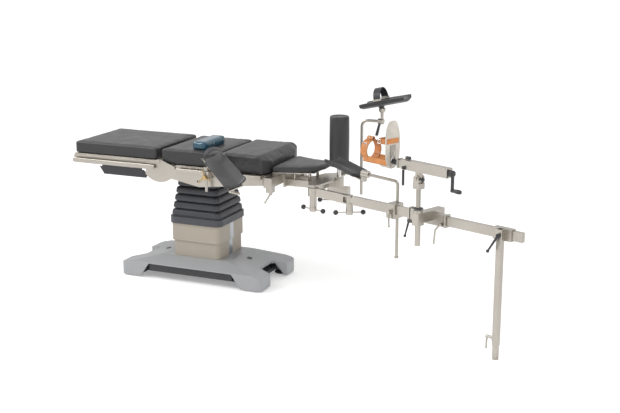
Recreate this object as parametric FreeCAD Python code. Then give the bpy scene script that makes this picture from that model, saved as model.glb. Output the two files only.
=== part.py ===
import FreeCAD, Part
import math
import os

# Operating table on a lifting column, with a traction frame for leg surgery.
# Millimetres, +Z up, +X towards the traction frame, -Y towards the viewer.
# The model is drawn with the column's axis at X=0, Y=0 and the floor at Z=0,
# and is moved at the end so that the origin lies under the middle of its outline.

# Clearances
seat_gap = 0.3
slide_gap = 0.4
shaft_gap = 0.05

# Base cover and chassis
base_length = 1000.0
base_width = 520.0
base_deck_z = 147.0
base_end_z = 86.0
base_edge_z = 102.0
base_skirt_z = 9.0
base_wall = 4.0
base_corner_r = 34.0
base_slope_x = 235.0
base_slope_y = 172.0
foot_length = 140.0
foot_width = 136.0
foot_slant = 66.0
end_notch = 92.0
pad_r = 42.0
pad_height = 12.0
pad_inset_x = 74.0
pad_inset_y = 66.0
chassis_beam_width = 60.0
chassis_beam_y = 150.0
chassis_beam_top = 66.0
chassis_plate_z = 84.0
panel_thickness = 3.0
panel_low_z = 48.0
panel_inset = 12.0
plug_r = 17.0
plug_height = 3.0
plug_stem = 12.0
plug_stem_r = 12.0
plug_x = 296.0

# Column covers
cover_wall = 3.0
cover_corner_r = 30.0
lower_half = 165.0
cover_step = 1.5
lower_top_z = 340.0
middle_low_z = 252.0
middle_top_z = 358.0
glide_height = 16.0
upper_low_z = 250.0
upper_top_z = 362.0
collar_half = 183.0
collar_top_z = 405.0
collar_spider_z = 424.0
spider_thickness = 6.0
hanger_r = 8.0
hanger_offset = 104.0

# Mast
mast_outer_half = 90.0
mast_wall = 12.0
mast_corner_r = 10.0
mast_outer_top = 400.0
mast_inner_low = 184.0
mast_head_z = 555.0
mast_head_plate = 18.0
tilt_pin_z = 610.0
tilt_pin_r = 20.0
ear_half_x = 42.0
ear_y = 62.0
ear_thickness = 18.0
roll_shaft_z = 660.0
roll_shaft_r = 18.0
roll_hanger_x = 92.0
roll_hanger_thickness = 18.0

# Bellows
fold_count = 5
fold_depth = 15.0
bellows_low_half = 176.0
bellows_top_half = 139.0
bellows_top_z = 640.0
bellows_wall = 3.0

# Table top
top_half_width = 270.0
mattress_corner_r = 22.0
mattress_edge_r = 9.0
back_x0 = -816.0
back_x1 = -200.0
back_pad_z0 = 777.0
mattress_top_z = 853.0
waist_x0 = -183.0
waist_x1 = 207.0
seat_x0 = 213.0
seat_x1 = 548.0
waist_pad_z0 = 757.0
seat_pad_z0 = 741.0
deck_thickness = 8.0
rail_height = 25.0
rail_thickness = 10.0
rail_y = 300.0
rail_top_back = 752.0
rail_top_seat = 744.0
rail_spacer_r = 7.0
rail_hook = 5.0
member_width = 40.0
member_wall = 4.0
member_y = 234.0
back_member_low = 718.0
seat_member_low = 684.0
side_plate = 6.0
back_hinge_x = -181.0
back_hinge_z = 772.0
hinge_pin_r = 8.0
blade_thickness = 3.6
hinge_cover_r = 129.0
hinge_cover_left = (-280.0, 690.0)
hinge_cover_right = (-114.0, 661.0)
hinge_cover_tip_z = 785.0
side_cover_low = [(-97.0, 671.0), (96.0, 637.0)]
side_cover_step_x = -71.0
side_cover_step_z = 748.0
cover_hole_x = 92.0
cover_hole_z = 673.0
cover_hole_r = 9.0
back_rail_x1 = -208.0
badge_x0 = -621.0
badge_x1 = -282.0
badge_low_z = 660.0
badge_top_z = 707.0
badge_thickness = 8.0
cushion_x0 = 14.0
cushion_x1 = 112.0
cushion_y0 = -215.0
cushion_y1 = 60.0
cushion_height = 52.0

# Traction frame's cross beam and rails
beam_x0 = 536.0
beam_x1 = 590.0
beam_half = 285.0
beam_z0 = 674.0
beam_z1 = 733.0
beam_wall = 4.0
frame_rail_y = 60.0
frame_rail_width = 30.0
frame_rail_z0 = 648.0
frame_rail_z1 = 690.0
frame_end_x = 832.0
wing_x1 = 902.0
wing_z = 700.0
wing_thickness = 12.0
socket_x = 915.0
socket_y = -20.0
socket_r = 24.0
socket_top_z = 718.0
post_bar_r = 12.5
perineal_r = 59.0
perineal_low_z = 786.0
perineal_top_z = 1092.0
pelvic_x1 = 852.0
pelvic_z = 752.0
pelvic_thickness = 30.0

# Traction arms
pivot_x = 840.0
pivot_y = -241.0
arm_angle = -20.5
arm_length = 288.0
arm_z0 = 645.0
arm_height = 50.0
arm_width = 25.0
arm_wall = 3.0
arm_post_r = 21.0
arm_ring_wall = 10.0
near_post_low = 577.0
outer_post_low = 608.0
knob_height = 26.0
knob_stud_r = 8.0
handle_rod_r = 4.0
handle_ball_r = 15.0
handle_half = 79.0
eye_r = 20.0
eye_pin_r = 12.0
fork_plate = 8.0
bar_length = 1172.0
near_handle_angle = -20.0
outer_handle_angle = 27.0
far_handle_angle = 199.5
far_handle_slid = 39.0
right_pivot_x = 873.0
right_pivot_y = 85.0
right_post_r = 17.0
right_arm_x0 = 803.0
right_arm_x1 = 939.0
right_arm_z0 = 587.0
right_arm_half_width = 22.0
right_post_low = 563.0

# Rod clamp, rod and leg rest on the bar
rod_clamp_s = 324.0
rod_clamp_length = 62.0
rod_r = 8.5
rod_offset = 36.0
rod_low_z = 388.0
rod_top_z = 820.0
rod_bend_r = 22.0
rest_end = (1214.0, -391.0, 842.0)
leg_pad_low = (1172.0, -356.0, 828.0)
leg_pad_high = (948.0, -215.0, 864.0)
leg_pad_width = 116.0
leg_pad_r = 85.0
leg_pad_thickness = 20.0

# Traction carriage, post and screw unit
carriage_s = 572.0
carriage_length = 260.0
sleeve_wall = 6.0
post_x = 1622.0
post_y = -654.0
cross_block_z0 = 650.0
cross_low_z = 664.0
cross_rise = 16.0
cross_far = (1696.0, -477.0)
cross_width = 46.0
post_tube_r = 15.0
post_tube_low = 537.0
post_rod_r = 12.5
post_rod_low = 600.0
post_rod_top = 841.0
head_low_z = 849.0
head_pivot_z = 905.0
unit_angle = -24.5
unit_z = 965.0
unit_width = 44.0
unit_height = 50.0
unit_back = 60.0
unit_front = 210.0
unit_wall = 4.0
ram_half = 17.5
nose_reach = 143.0
ram_plate = 8.0
lock_collar_length = 54.0
crank_hub_r = 17.0
crank_arm = 88.0
crank_grip_r = 12.0
crank_grip_length = 50.0

# Boot plate
boot_reach = 197.0
boot_hub_r = 14.0
boot_plate_thickness = 4.0
sole_outline = [(-33.0, 214.0), (-6.0, 221.0), (26.0, 218.0), (44.0, 182.0), (56.0, 124.0), (55.0, 60.0),
                (51.0, 12.0), (38.0, -24.0), (0.0, -42.0), (-38.0, -24.0), (-51.0, 12.0), (-55.0, 60.0),
                (-56.0, 124.0), (-51.0, 176.0)]
heel_cup_r = 50.0
heel_cup_z = 8.0
heel_cup_depth = 58.0
gaiter_reach = 160.0
gaiter_z = 42.0
gaiter_r = 57.5
gaiter_length = 50.0
strap_thickness = 3.5
forefoot_strap_z = 97.0
forefoot_strap_height = 28.0
forefoot_strap_depth = 58.0
forefoot_strap_half = 58.5
heel_strap_z = -20.0
heel_strap_height = 34.0

# Floor leg of the bar
leg_s = 1059.0
leg_tube = 30.0
leg_wall = 2.0
leg_tube_low = 75.0
leg_tube_top = 690.0
leg_foot_tube = 25.4
leg_pad_radius = 18.0
leg_pad_height = 10.0
bracket_half = 57.0
bracket_wall = 6.0

# Knee crutch on the far arm
crutch_r = 8.5
crutch_x = 1007.4
crutch_y = 111.7
crutch_low_z = 592.0
crutch_top_z = 1052.0
crutch_bend_r = 40.0
crutch_reach = 120.0
crutch_ball_r = 20.0
crutch_ball_rise = 70.0
crutch_pad_length = 288.0
crutch_pad_radius = 150.0
crutch_pad_thickness = 20.0
crutch_pad_width = 150.0
crutch_pad_tilt = 13.0
crutch_pad_shift = 30.0
crutch_pad_rise = 44.0
crutch_strap_half = 73.0
crutch_strap_width = 44.0
crutch_socket_r = 22.0
crutch_socket_z0 = 706.0
crutch_socket_z1 = 742.0

# Arm board and its rail clamp
arm_clamp_x = 169.0
arm_rod_r = 8.0
arm_rod_low = 624.0
arm_rod_top = 776.0
board_centre = (363.0, -462.0, 795.0)
board_heading = -43.5
board_pitch = 10.8
board_roll = 18.0
board_length = 458.0
board_width = 136.0
board_trough_r = 86.0
board_thickness = 10.0
board_plate = 3.0


def vec(x, y, z):
    return FreeCAD.Vector(x, y, z)


def block(x0, x1, y0, y1, z0, z1):
    return Part.makeBox(x1 - x0, y1 - y0, z1 - z0, vec(x0, y0, z0))


def rod(start, end, radius):
    start = vec(*start)
    along = vec(*end) - start
    return Part.makeCylinder(radius, along.Length, start, along)


def pipe(start, end, radius, bore):
    return rod(start, end, radius).cut(rod(start, end, bore))


def ball(centre, radius, pole=(0, 0, 1)):
    return Part.makeSphere(radius, vec(*centre), vec(*pole))


def fuse(shapes):
    whole = shapes[0]
    if len(shapes) > 1:
        whole = shapes[0].multiFuse(shapes[1:])
    return whole.removeSplitter()


def group(shapes):
    return Part.makeCompound(shapes)


def prism(points, along):
    # A flat outline pushed along a vector.
    wire = Part.makePolygon([vec(*p) for p in points + points[:1]])
    return Part.Face(wire).extrude(vec(*along))


def side_profile(points, y0, y1):
    # An outline in X and Z, from y0 to y1.
    return prism([(x, y0, z) for x, z in points], (0, y1 - y0, 0))


def end_profile(points, x0, x1):
    # An outline in Y and Z, from x0 to x1.
    return prism([(x0, y, z) for y, z in points], (x1 - x0, 0, 0))


def plan(points, z0, z1):
    return prism([(x, y, z0) for x, y in points], (0, 0, z1 - z0))


def upright_edges(shape):
    found = []
    for edge in shape.Edges:
        low, high = edge.Vertexes[0].Point, edge.Vertexes[-1].Point
        if abs(low.x - high.x) < 0.01 and abs(low.y - high.y) < 0.01 and abs(low.z - high.z) > 1:
            found.append(edge)
    return found


def round_uprights(shape, radius):
    return shape.makeFillet(radius, upright_edges(shape))


def square_block(half, radius, z0, z1):
    return round_uprights(block(-half, half, -half, half, z0, z1), radius)


def square_tube(half, wall, radius, z0, z1):
    inner = square_block(half - wall, max(radius - wall, 1.0), z0 - 1, z1 + 1)
    return square_block(half, radius, z0, z1).cut(inner)


def box_tube(x0, x1, y0, y1, z0, z1, wall):
    # A rectangular tube along X.
    inner = block(x0 - 1, x1 + 1, y0 + wall, y1 - wall, z0 + wall, z1 - wall)
    return block(x0, x1, y0, y1, z0, z1).cut(inner)


def mirror_y(shape):
    return shape.mirror(vec(0, 0, 0), vec(0, 1, 0))


def turned(shape, angle, x, y, z=0.0):
    # From a local frame at the origin to a place, turned about the upright axis.
    copy = shape.copy()
    copy.rotate(vec(0, 0, 0), vec(0, 0, 1), angle)
    copy.translate(vec(x, y, z))
    return copy


def along_arm(s, offset=0.0):
    # The point at a distance along the near traction arm from its first pivot.
    turn = math.radians(arm_angle)
    x = pivot_x + s * math.cos(turn) - offset * math.sin(turn)
    y = pivot_y + s * math.sin(turn) + offset * math.cos(turn)
    return x, y


def on_arm(shape, s):
    x, y = along_arm(s)
    return turned(shape, arm_angle, x, y)


def soft_box(x0, x1, y0, y1, z0, z1, corner, edge):
    body = round_uprights(block(x0, x1, y0, y1, z0, z1), corner)
    rims = [e for e in body.Edges if abs(e.BoundBox.ZMin - e.BoundBox.ZMax) < 0.01]
    return body.makeFillet(edge, rims)


def lever(start, end, radius, tip_r):
    # A clamp lever: a tapered arm with a rounded tip.
    a = vec(*start)
    b = vec(*end)
    along = b - a
    arm = Part.makeCone(radius, radius * 0.7, along.Length, a, along)
    return fuse([arm, Part.makeSphere(tip_r, b, along)])


# Base

def base_plan(inset):
    half_x = base_length / 2 - inset
    half_y = base_width / 2 - inset
    notch_y = base_width / 2 - foot_width
    outline = [(-half_x, -half_y), (half_x, -half_y), (half_x, -notch_y - inset)]
    outline += [(half_x - end_notch, -notch_y + 34 - inset), (half_x - end_notch, notch_y - 34 + inset)]
    outline += [(half_x, notch_y + inset), (half_x, half_y), (-half_x, half_y), (-half_x, notch_y + inset)]
    outline += [(-half_x + end_notch, notch_y - 34 + inset), (-half_x + end_notch, -notch_y + 34 - inset)]
    outline += [(-half_x, -notch_y - inset)]
    solid = plan(outline, base_skirt_z, base_deck_z + 10)
    corners = []
    for edge in upright_edges(solid):
        point = edge.Vertexes[0].Point
        if abs(point.x) > half_x - 1 and abs(point.y) > half_y - 1:
            corners.append(edge)
    return solid.makeFillet(base_corner_r - inset, corners)


def base_form(inset):
    # Plan outline, long profile and cross profile meet in one hipped form.
    half_x = base_length / 2
    half_y = base_width / 2
    top = base_deck_z - inset
    low = base_skirt_z - (1 if inset else 0)
    long_profile = [(-half_x, low), (half_x, low), (half_x, base_end_z - inset), (base_slope_x, top)]
    long_profile += [(-base_slope_x, top), (-half_x, base_end_z - inset)]
    cross_profile = [(-half_y, low), (half_y, low), (half_y, base_edge_z - inset), (base_slope_y, top)]
    cross_profile += [(-base_slope_y, top), (-half_y, base_edge_z - inset)]
    form = base_plan(inset).common(side_profile(long_profile, -half_y, half_y))
    return form.common(end_profile(cross_profile, -half_x, half_x))


def base_cover():
    shell = base_form(0).cut(base_form(base_wall).translated(vec(0, 0, -0.01)))
    reach_x = base_length / 2 - foot_length
    reach_y = base_width / 2 - foot_width
    low = base_skirt_z - 5
    side_cut = [(-reach_x, low), (reach_x, low), (reach_x - foot_slant, base_edge_z - base_wall - 2)]
    side_cut += [(-reach_x + foot_slant, base_edge_z - base_wall - 2)]
    end_cut = [(-reach_y, low), (reach_y, low), (reach_y - 24, base_end_z - base_wall + 8)]
    end_cut += [(-reach_y + 24, base_end_z - base_wall + 8)]
    shell = shell.cut(side_profile(side_cut, -base_width, base_width))
    shell = shell.cut(end_profile(end_cut, -base_length, base_length))
    opening = block(-mast_outer_half - 6, mast_outer_half + 6, -mast_outer_half - 6,
                    mast_outer_half + 6, base_deck_z - 20, base_deck_z + 5)
    for side in (-1, 1):
        hole = Part.makeCylinder(plug_stem_r, 40, vec(0, 0, -20))
        shell = shell.cut(on_deck_slope(hole, side))
    return shell.cut(opening)


def base_chassis():
    half_x = base_length / 2 - pad_inset_x
    foot_y = base_width / 2 - pad_inset_y
    pieces = []
    for side in (-1, 1):
        beam = box_tube(-half_x + 60, half_x - 60, side * chassis_beam_y - chassis_beam_width / 2,
                        side * chassis_beam_y + chassis_beam_width / 2, 24, chassis_beam_top, 5)
        pieces.append(beam)
        cross = base_length / 2 - end_notch - base_wall - 4
        x0, x1 = sorted((side * cross, side * (cross - 54)))
        pieces.append(block(x0, x1, -foot_y - 30, foot_y + 30, 24, 44))
        x0, x1 = sorted((side * (cross - 20), side * (half_x + 40)))
        for y in (-foot_y, foot_y):
            pieces.append(block(x0, x1, y - 30, y + 30, 24, 44))
    plate = block(-lower_half, lower_half, -lower_half, lower_half, chassis_beam_top, chassis_plate_z)
    pieces.append(plate)
    for x in (-half_x, half_x):
        for y in (-foot_y, foot_y):
            pieces.append(rod((x, y, pad_height), (x, y, 24), 11))
            pieces.append(rod((x, y, 44), (x, y, base_end_z - 24), 14))
    return fuse(pieces)


def foot_pads():
    half_x = base_length / 2 - pad_inset_x
    foot_y = base_width / 2 - pad_inset_y
    pads = []
    for x in (-half_x, half_x):
        for y in (-foot_y, foot_y):
            disc = Part.makeCylinder(pad_r, pad_height, vec(x, y, 0))
            pads.append(disc.makeChamfer(3, [disc.Edges[2], disc.Edges[0]]))
    return group(pads)


def base_panels():
    # Dark recessed panels between the feet and the two round plugs of the deck.
    reach = base_length / 2 - foot_length - foot_slant
    panels = []
    outer = base_width / 2 - panel_inset
    seat = chassis_beam_y + chassis_beam_width / 2
    top = base_edge_z - base_wall - seat_gap
    for side in (-1, 1):
        section = [(side * outer, panel_low_z), (side * outer, top),
                   (side * (outer - panel_thickness), top),
                   (side * (outer - panel_thickness), panel_low_z + panel_thickness),
                   (side * seat, panel_low_z + panel_thickness), (side * seat, panel_low_z)]
        panels.append(end_profile(section, -reach, reach))
        disc = Part.makeCylinder(plug_r, plug_height)
        disc = disc.makeChamfer(1.2, [disc.Edges[0]])
        stem = Part.makeCylinder(plug_stem_r - seat_gap, plug_stem, vec(0, 0, -plug_stem))
        panels.append(on_deck_slope(disc.fuse(stem), side))
    return group(panels)


def on_deck_slope(shape, side):
    # From the origin to a plug's place on the sloping end of the deck.
    fall = (base_deck_z - base_end_z) / (base_length / 2 - base_slope_x)
    copy = shape.copy()
    copy.rotate(vec(0, 0, 0), vec(0, 1, 0), side * math.degrees(math.atan(fall)))
    copy.translate(vec(side * plug_x, 0, base_deck_z - (plug_x - base_slope_x) * fall))
    return copy


# Column

def column_lower_cover():
    return square_tube(lower_half, cover_wall, cover_corner_r, base_deck_z, lower_top_z)


def column_middle_cover():
    # Between the other two, with glide strips that keep the three apart.
    half = lower_half + cover_step + cover_wall
    cover = square_tube(half, cover_wall, cover_corner_r + cover_step, middle_low_z, middle_top_z)
    strips = []
    for face in range(4):
        inner = block(lower_half + seat_gap, half - cover_wall, -60, 60, middle_low_z, middle_low_z + glide_height)
        outer = block(half, half + cover_step - seat_gap, -60, 60, middle_top_z - glide_height, middle_top_z)
        strips += [turned(inner, 90 * face, 0, 0), turned(outer, 90 * face, 0, 0)]
    return fuse([cover] + strips)


def upper_half():
    return lower_half + 2 * (cover_step + cover_wall)


def column_upper_cover():
    return square_tube(upper_half(), cover_wall, cover_corner_r + 2 * cover_step, upper_low_z, upper_top_z)


def mast_outer():
    tube = square_tube(mast_outer_half, mast_wall, mast_corner_r, chassis_plate_z + 16, mast_outer_top)
    flange = square_block(mast_outer_half + 40, mast_corner_r, chassis_plate_z, chassis_plate_z + 16)
    bolts = []
    for x in (-1, 1):
        for y in (-1, 1):
            spot = mast_outer_half + 22
            bolts.append(rod((x * spot, y * spot, chassis_plate_z + 16),
                             (x * spot, y * spot, chassis_plate_z + 26), 10))
    return fuse([tube, flange] + bolts)


def bellows_skirt(roof_z):
    # Four steel strips screwed under the cross plate, where the bellows ends.
    low = bellows_top_z + seat_gap
    high = roof_z - seat_gap
    strips = []
    for side in (-1, 1):
        y0, y1 = sorted((side * 128.0, side * 140.0))
        strips.append(block(-140, 140, y0, y1, low, high))
        x0, x1 = y0, y1
        strips.append(block(x0, x1, -128 + seat_gap, 128 - seat_gap, low, high))
    return strips


def mast_inner():
    half = mast_outer_half - mast_wall - slide_gap
    tube = square_tube(half, mast_wall, 4, mast_inner_low, mast_head_z)
    head_top = mast_head_z + mast_head_plate
    reach = hanger_offset + hanger_r
    arm_x = block(-reach, reach, -30, 30, mast_head_z, head_top)
    arm_y = block(-30, 30, -reach, reach, mast_head_z, head_top)
    plate = fuse([square_block(half, 4, mast_head_z, head_top), arm_x, arm_y])
    ears = []
    for side in (-1, 1):
        y0, y1 = sorted((side * ear_y, side * (ear_y + ear_thickness)))
        ear = block(-ear_half_x, ear_half_x, y0, y1, head_top, tilt_pin_z)
        ears.append(ear)
        ears.append(rod((0, y0, tilt_pin_z), (0, y1, tilt_pin_z), ear_half_x))
    head = fuse([tube, plate] + ears)
    reach = ear_y + ear_thickness + 1
    return head.cut(rod((0, -reach, tilt_pin_z), (0, reach, tilt_pin_z), tilt_pin_r))


def bellows_collar():
    # Ring above the upper cover, with the spider that hangs the covers from the mast head.
    inner = upper_half() - cover_wall
    ring = square_tube(collar_half, collar_half - inner, cover_corner_r + 12, upper_top_z, collar_top_z)
    spider_top = collar_spider_z + spider_thickness
    neck = square_tube(inner, cover_wall, cover_corner_r, collar_top_z, spider_top)
    plate = square_block(inner - 1, cover_corner_r, collar_spider_z, spider_top)
    plate = plate.cut(square_block(mast_outer_half + 6, mast_corner_r, collar_spider_z - 1, spider_top + 1))
    parts = [ring, neck, plate]
    for x, y in ((-1, 0), (1, 0), (0, -1), (0, 1)):
        spot = (x * hanger_offset, y * hanger_offset)
        parts.append(rod(spot + (spider_top - 1,), spot + (mast_head_z,), hanger_r))
    return fuse(parts)


def bellows_ring(half, z):
    corner = 26.0
    core = half - corner
    points = []
    for start, cx, cy in ((0, 1, 1), (90, -1, 1), (180, -1, -1), (270, 1, -1)):
        arc = []
        for step in (0, 45, 90):
            turn = math.radians(start + step)
            arc.append(vec(cx * core + corner * math.cos(turn), cy * core + corner * math.sin(turn), z))
        points.append(arc)
    edges = []
    for k in range(4):
        edges.append(Part.Arc(points[k][0], points[k][1], points[k][2]).toShape())
        edges.append(Part.LineSegment(points[k][2], points[(k + 1) % 4][0]).toShape())
    return Part.Wire(edges)


def bellows_form(inset, low, high):
    # Each fold goes valley, crest, valley, and the folds get smaller upwards.
    pitch = (high - low) / fold_count
    rings = []
    for k in range(fold_count + 1):
        share = k / fold_count
        crest = bellows_low_half + (bellows_top_half - bellows_low_half) * share
        rings.append(bellows_ring(crest - fold_depth - inset, low + k * pitch))
        if k < fold_count:
            share = (k + 0.5) / fold_count
            crest = bellows_low_half + (bellows_top_half - bellows_low_half) * share
            rings.append(bellows_ring(crest - inset, low + (k + 0.3) * pitch))
            rings.append(bellows_ring(crest - inset, low + (k + 0.7) * pitch))
    return Part.makeLoft(rings, True, True)


def bellows():
    low = collar_top_z + seat_gap
    outer = bellows_form(0, low, bellows_top_z)
    inner = bellows_form(bellows_wall, low - 0.5, bellows_top_z + 0.5)
    neck = square_block(upper_half() - cover_wall + seat_gap, cover_corner_r, low - 1,
                        collar_spider_z + spider_thickness + 1)
    return outer.cut(inner).cut(neck)


def tilt_saddle():
    # Cross piece: the pin along Y tilts it, the shaft along X carries the table top.
    hub_y = ear_y - slide_gap
    body = block(-34, 34, -hub_y, hub_y, tilt_pin_z - 20, roll_shaft_z)
    hub = rod((0, -hub_y, tilt_pin_z), (0, hub_y, tilt_pin_z), 30)
    neck = rod((-roll_hanger_x + slide_gap, 0, roll_shaft_z), (roll_hanger_x - slide_gap, 0, roll_shaft_z), 30)
    pin_reach = ear_y + ear_thickness + 6
    pin = rod((0, -pin_reach, tilt_pin_z), (0, pin_reach, tilt_pin_z), tilt_pin_r - shaft_gap)
    shaft_reach = roll_hanger_x + roll_hanger_thickness + 8
    shaft = rod((-shaft_reach, 0, roll_shaft_z), (shaft_reach, 0, roll_shaft_z), roll_shaft_r - shaft_gap)
    return fuse([body, hub, neck, pin, shaft])


# Table top frame

def side_member(x0, x1, z0, z1, gap=0.0):
    return box_tube(x0, x1, -member_y - member_width + gap, -member_y, z0, z1, member_wall)


def main_frame():
    pieces = []
    low = seat_member_low
    high = waist_pad_z0 - deck_thickness
    x0 = waist_x0 + 26
    member = side_member(x0, beam_x0, low, seat_pad_z0 - deck_thickness)
    pieces += [member, mirror_y(member)]
    inner_y = member_y
    for x in (x0 + 10, 150.0, beam_x0 - 50):
        pieces.append(block(x, x + 40, -inner_y, inner_y, low + 6, low + 40))
    roof_z = roll_shaft_z + 34
    pieces.append(block(x0 + 10, 190, -150, 150, roof_z, roof_z + 12))
    for side in (-1, 1):
        a, b = sorted((side * roll_hanger_x, side * (roll_hanger_x + roll_hanger_thickness)))
        hanger = block(a, b, -34, 34, roll_shaft_z, roof_z)
        eye = rod((a, 0, roll_shaft_z), (b, 0, roll_shaft_z), 34)
        pieces += [hanger, eye]
    pieces.append(block(x0, waist_x1, -member_y - 36, member_y + 36, seat_pad_z0 - deck_thickness, high))
    frame = fuse(pieces)
    shaft = rod((-200, 0, roll_shaft_z), (200, 0, roll_shaft_z), roll_shaft_r)
    return group([frame.cut(shaft), seat_deck()] + bellows_skirt(roof_z))


def seat_deck():
    # Thin plates that the two pads lie on, with a lip at the head side.
    waist = block(waist_x0 + 26, waist_x1, -262, 262, waist_pad_z0 - deck_thickness, waist_pad_z0 - seat_gap)
    seat = block(seat_x0, seat_x1 - 8, -262, 262, seat_pad_z0 - deck_thickness, seat_pad_z0 - seat_gap)
    return fuse([waist, seat])


def hinge_cover_edge():
    # Points along the cover's round lower edge, from the seat side to the head side.
    first = math.atan2(hinge_cover_right[1] - back_hinge_z, hinge_cover_right[0] - back_hinge_x)
    last = math.atan2(hinge_cover_left[1] - back_hinge_z, hinge_cover_left[0] - back_hinge_x)
    points = []
    steps = 14
    for k in range(steps + 1):
        turn = first + (last - first) * k / steps
        points.append((back_hinge_x + hinge_cover_r * math.cos(turn), back_hinge_z + hinge_cover_r * math.sin(turn)))
    return points


def side_covers():
    # Stainless side plates with the rounded hinge cover at their head end.
    top = seat_pad_z0 - deck_thickness
    foot = beam_x0 - 6
    outline = side_cover_low[::-1] + hinge_cover_edge()
    outline += [(back_hinge_x - 91, 757), (back_hinge_x - 10, hinge_cover_tip_z)]
    outline += [(back_hinge_x + 12, hinge_cover_tip_z), (side_cover_step_x, side_cover_step_z)]
    outline += [(side_cover_step_x, top), (foot, top), (foot, seat_member_low)]
    y0 = -member_y - member_width - side_plate
    plate = side_profile(outline, y0, y0 + side_plate)
    bore = rod((back_hinge_x, y0 - 10, back_hinge_z), (back_hinge_x, y0 + 20, back_hinge_z), hinge_pin_r)
    hole = rod((cover_hole_x, y0 - 10, cover_hole_z), (cover_hole_x, y0 + 20, cover_hole_z), cover_hole_r)
    plate = plate.cut(bore).cut(hole)
    return group([plate, mirror_y(plate)])


def rail(x0, x1, top, spacers, seat_y):
    # A standard side rail, 25 by 10, on round spacers.
    bar = block(x0, x1, -rail_y, -rail_y + rail_thickness, top - rail_height, top)
    bar = bar.makeChamfer(1.5, [e for e in bar.Edges if abs(e.BoundBox.XLength - (x1 - x0)) < 0.1])
    parts = [bar]
    for x in spacers:
        mid = top - rail_height / 2
        parts.append(rod((x, -rail_y + rail_thickness, mid), (x, seat_y, mid), rail_spacer_r))
    bar = fuse(parts)
    return group([bar, mirror_y(bar)])


def side_rails():
    seat = -member_y - member_width - side_plate
    return rail(-52.0, beam_x0 - 14, rail_top_seat, (-20.0, 130.0, 290.0, 470.0), seat)


def back_rails():
    return rail(back_x0 + 12, back_rail_x1, rail_top_back, (-770.0, -560.0, -340.0), -member_y - member_width + slide_gap)


def back_frame():
    low = back_member_low
    high = back_pad_z0 - deck_thickness
    member = side_member(back_x0 + 6, -276.0, low, high, slide_gap)
    y0 = -member_y - member_width
    # Hinge blade: inside the stainless side plate, round about the hinge pin.
    blade = side_profile([(-300, low + 8), (-300, high), (back_hinge_x, back_hinge_z + 10),
                          (back_hinge_x + 10, back_hinge_z), (back_hinge_x, back_hinge_z - 14)],
                         y0 + slide_gap, y0 + blade_thickness)
    pin = rod((back_hinge_x, y0 - side_plate - 5, back_hinge_z), (back_hinge_x, y0 + blade_thickness, back_hinge_z),
              hinge_pin_r - shaft_gap)
    side = fuse([member, blade, pin])
    pieces = [side, mirror_y(side)]
    for x in (back_x0 + 6, -560.0, -318.0):
        pieces.append(block(x, x + 40, -member_y, member_y, low + 4, low + 34))
    pieces.append(block(back_x0 + 6, -214.0, -262, 262, high, back_pad_z0 - seat_gap))
    return fuse(pieces)


def back_side_plates():
    # Dark plates under the back section's side members.
    y0 = -member_y - member_width + slide_gap
    slant = 34.0
    outline = [(badge_x0, badge_top_z), (badge_x0 + slant, badge_low_z), (badge_x1, badge_low_z),
               (badge_x1 + 8, badge_low_z + 14), (badge_x1 - 16, badge_top_z)]
    plate = side_profile(outline, y0, y0 + badge_thickness)
    tab = block(badge_x0 + 20, badge_x1 - 30, y0, y0 + badge_thickness, badge_top_z - 4, back_member_low)
    plate = fuse([plate, tab])
    return group([plate, mirror_y(plate)])


def back_mattress():
    return soft_box(back_x0, back_x1, -top_half_width, top_half_width, back_pad_z0, mattress_top_z,
                    mattress_corner_r, mattress_edge_r)


def lower_back_mattress():
    return soft_box(waist_x0, waist_x1, -top_half_width, top_half_width, waist_pad_z0, mattress_top_z - 3,
                    mattress_corner_r, mattress_edge_r)


def seat_mattress():
    # The seat pad's foot end is rounded in plan and chamfered on top.
    outline = [(seat_x0, -top_half_width), (seat_x1 - 30, -top_half_width), (seat_x1, -top_half_width + 90)]
    outline += [(seat_x1, top_half_width - 90), (seat_x1 - 30, top_half_width), (seat_x0, top_half_width)]
    pad = plan(outline, seat_pad_z0, mattress_top_z)
    pad = round_uprights(pad, 20)
    slope = side_profile([(seat_x1 - 60, mattress_top_z + 1), (seat_x1 + 1, mattress_top_z + 1),
                          (seat_x1 + 1, mattress_top_z - 36)], -300, 300)
    return pad.cut(slope)


def head_cushion():
    z0 = mattress_top_z - 3 + seat_gap
    return soft_box(cushion_x0, cushion_x1, cushion_y0, cushion_y1, z0, z0 + cushion_height, 24, 14)


# Traction frame

def extension_beam():
    # Cross beam with closed ends and the two clamp blocks hanging under it.
    tube = block(beam_x0, beam_x1, -beam_half, beam_half, beam_z0, beam_z1)
    hollow = block(beam_x0 + beam_wall, beam_x1 - beam_wall, -beam_half + beam_wall, beam_half - beam_wall,
                   beam_z0 + beam_wall, beam_z1 - beam_wall)
    tube = tube.cut(hollow)
    tube = tube.makeFillet(3, [e for e in tube.Edges if e.BoundBox.YLength > 2 * beam_half - 1])
    hooks = []
    for side in (-1, 1):
        y0, y1 = sorted((side * (beam_half - 20), side * (beam_half - 64)))
        hooks.append(block(beam_x0 + 6, beam_x1 - 8, y0, y1, beam_z0 - 34, beam_z0))
    return fuse([tube] + hooks)


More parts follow.
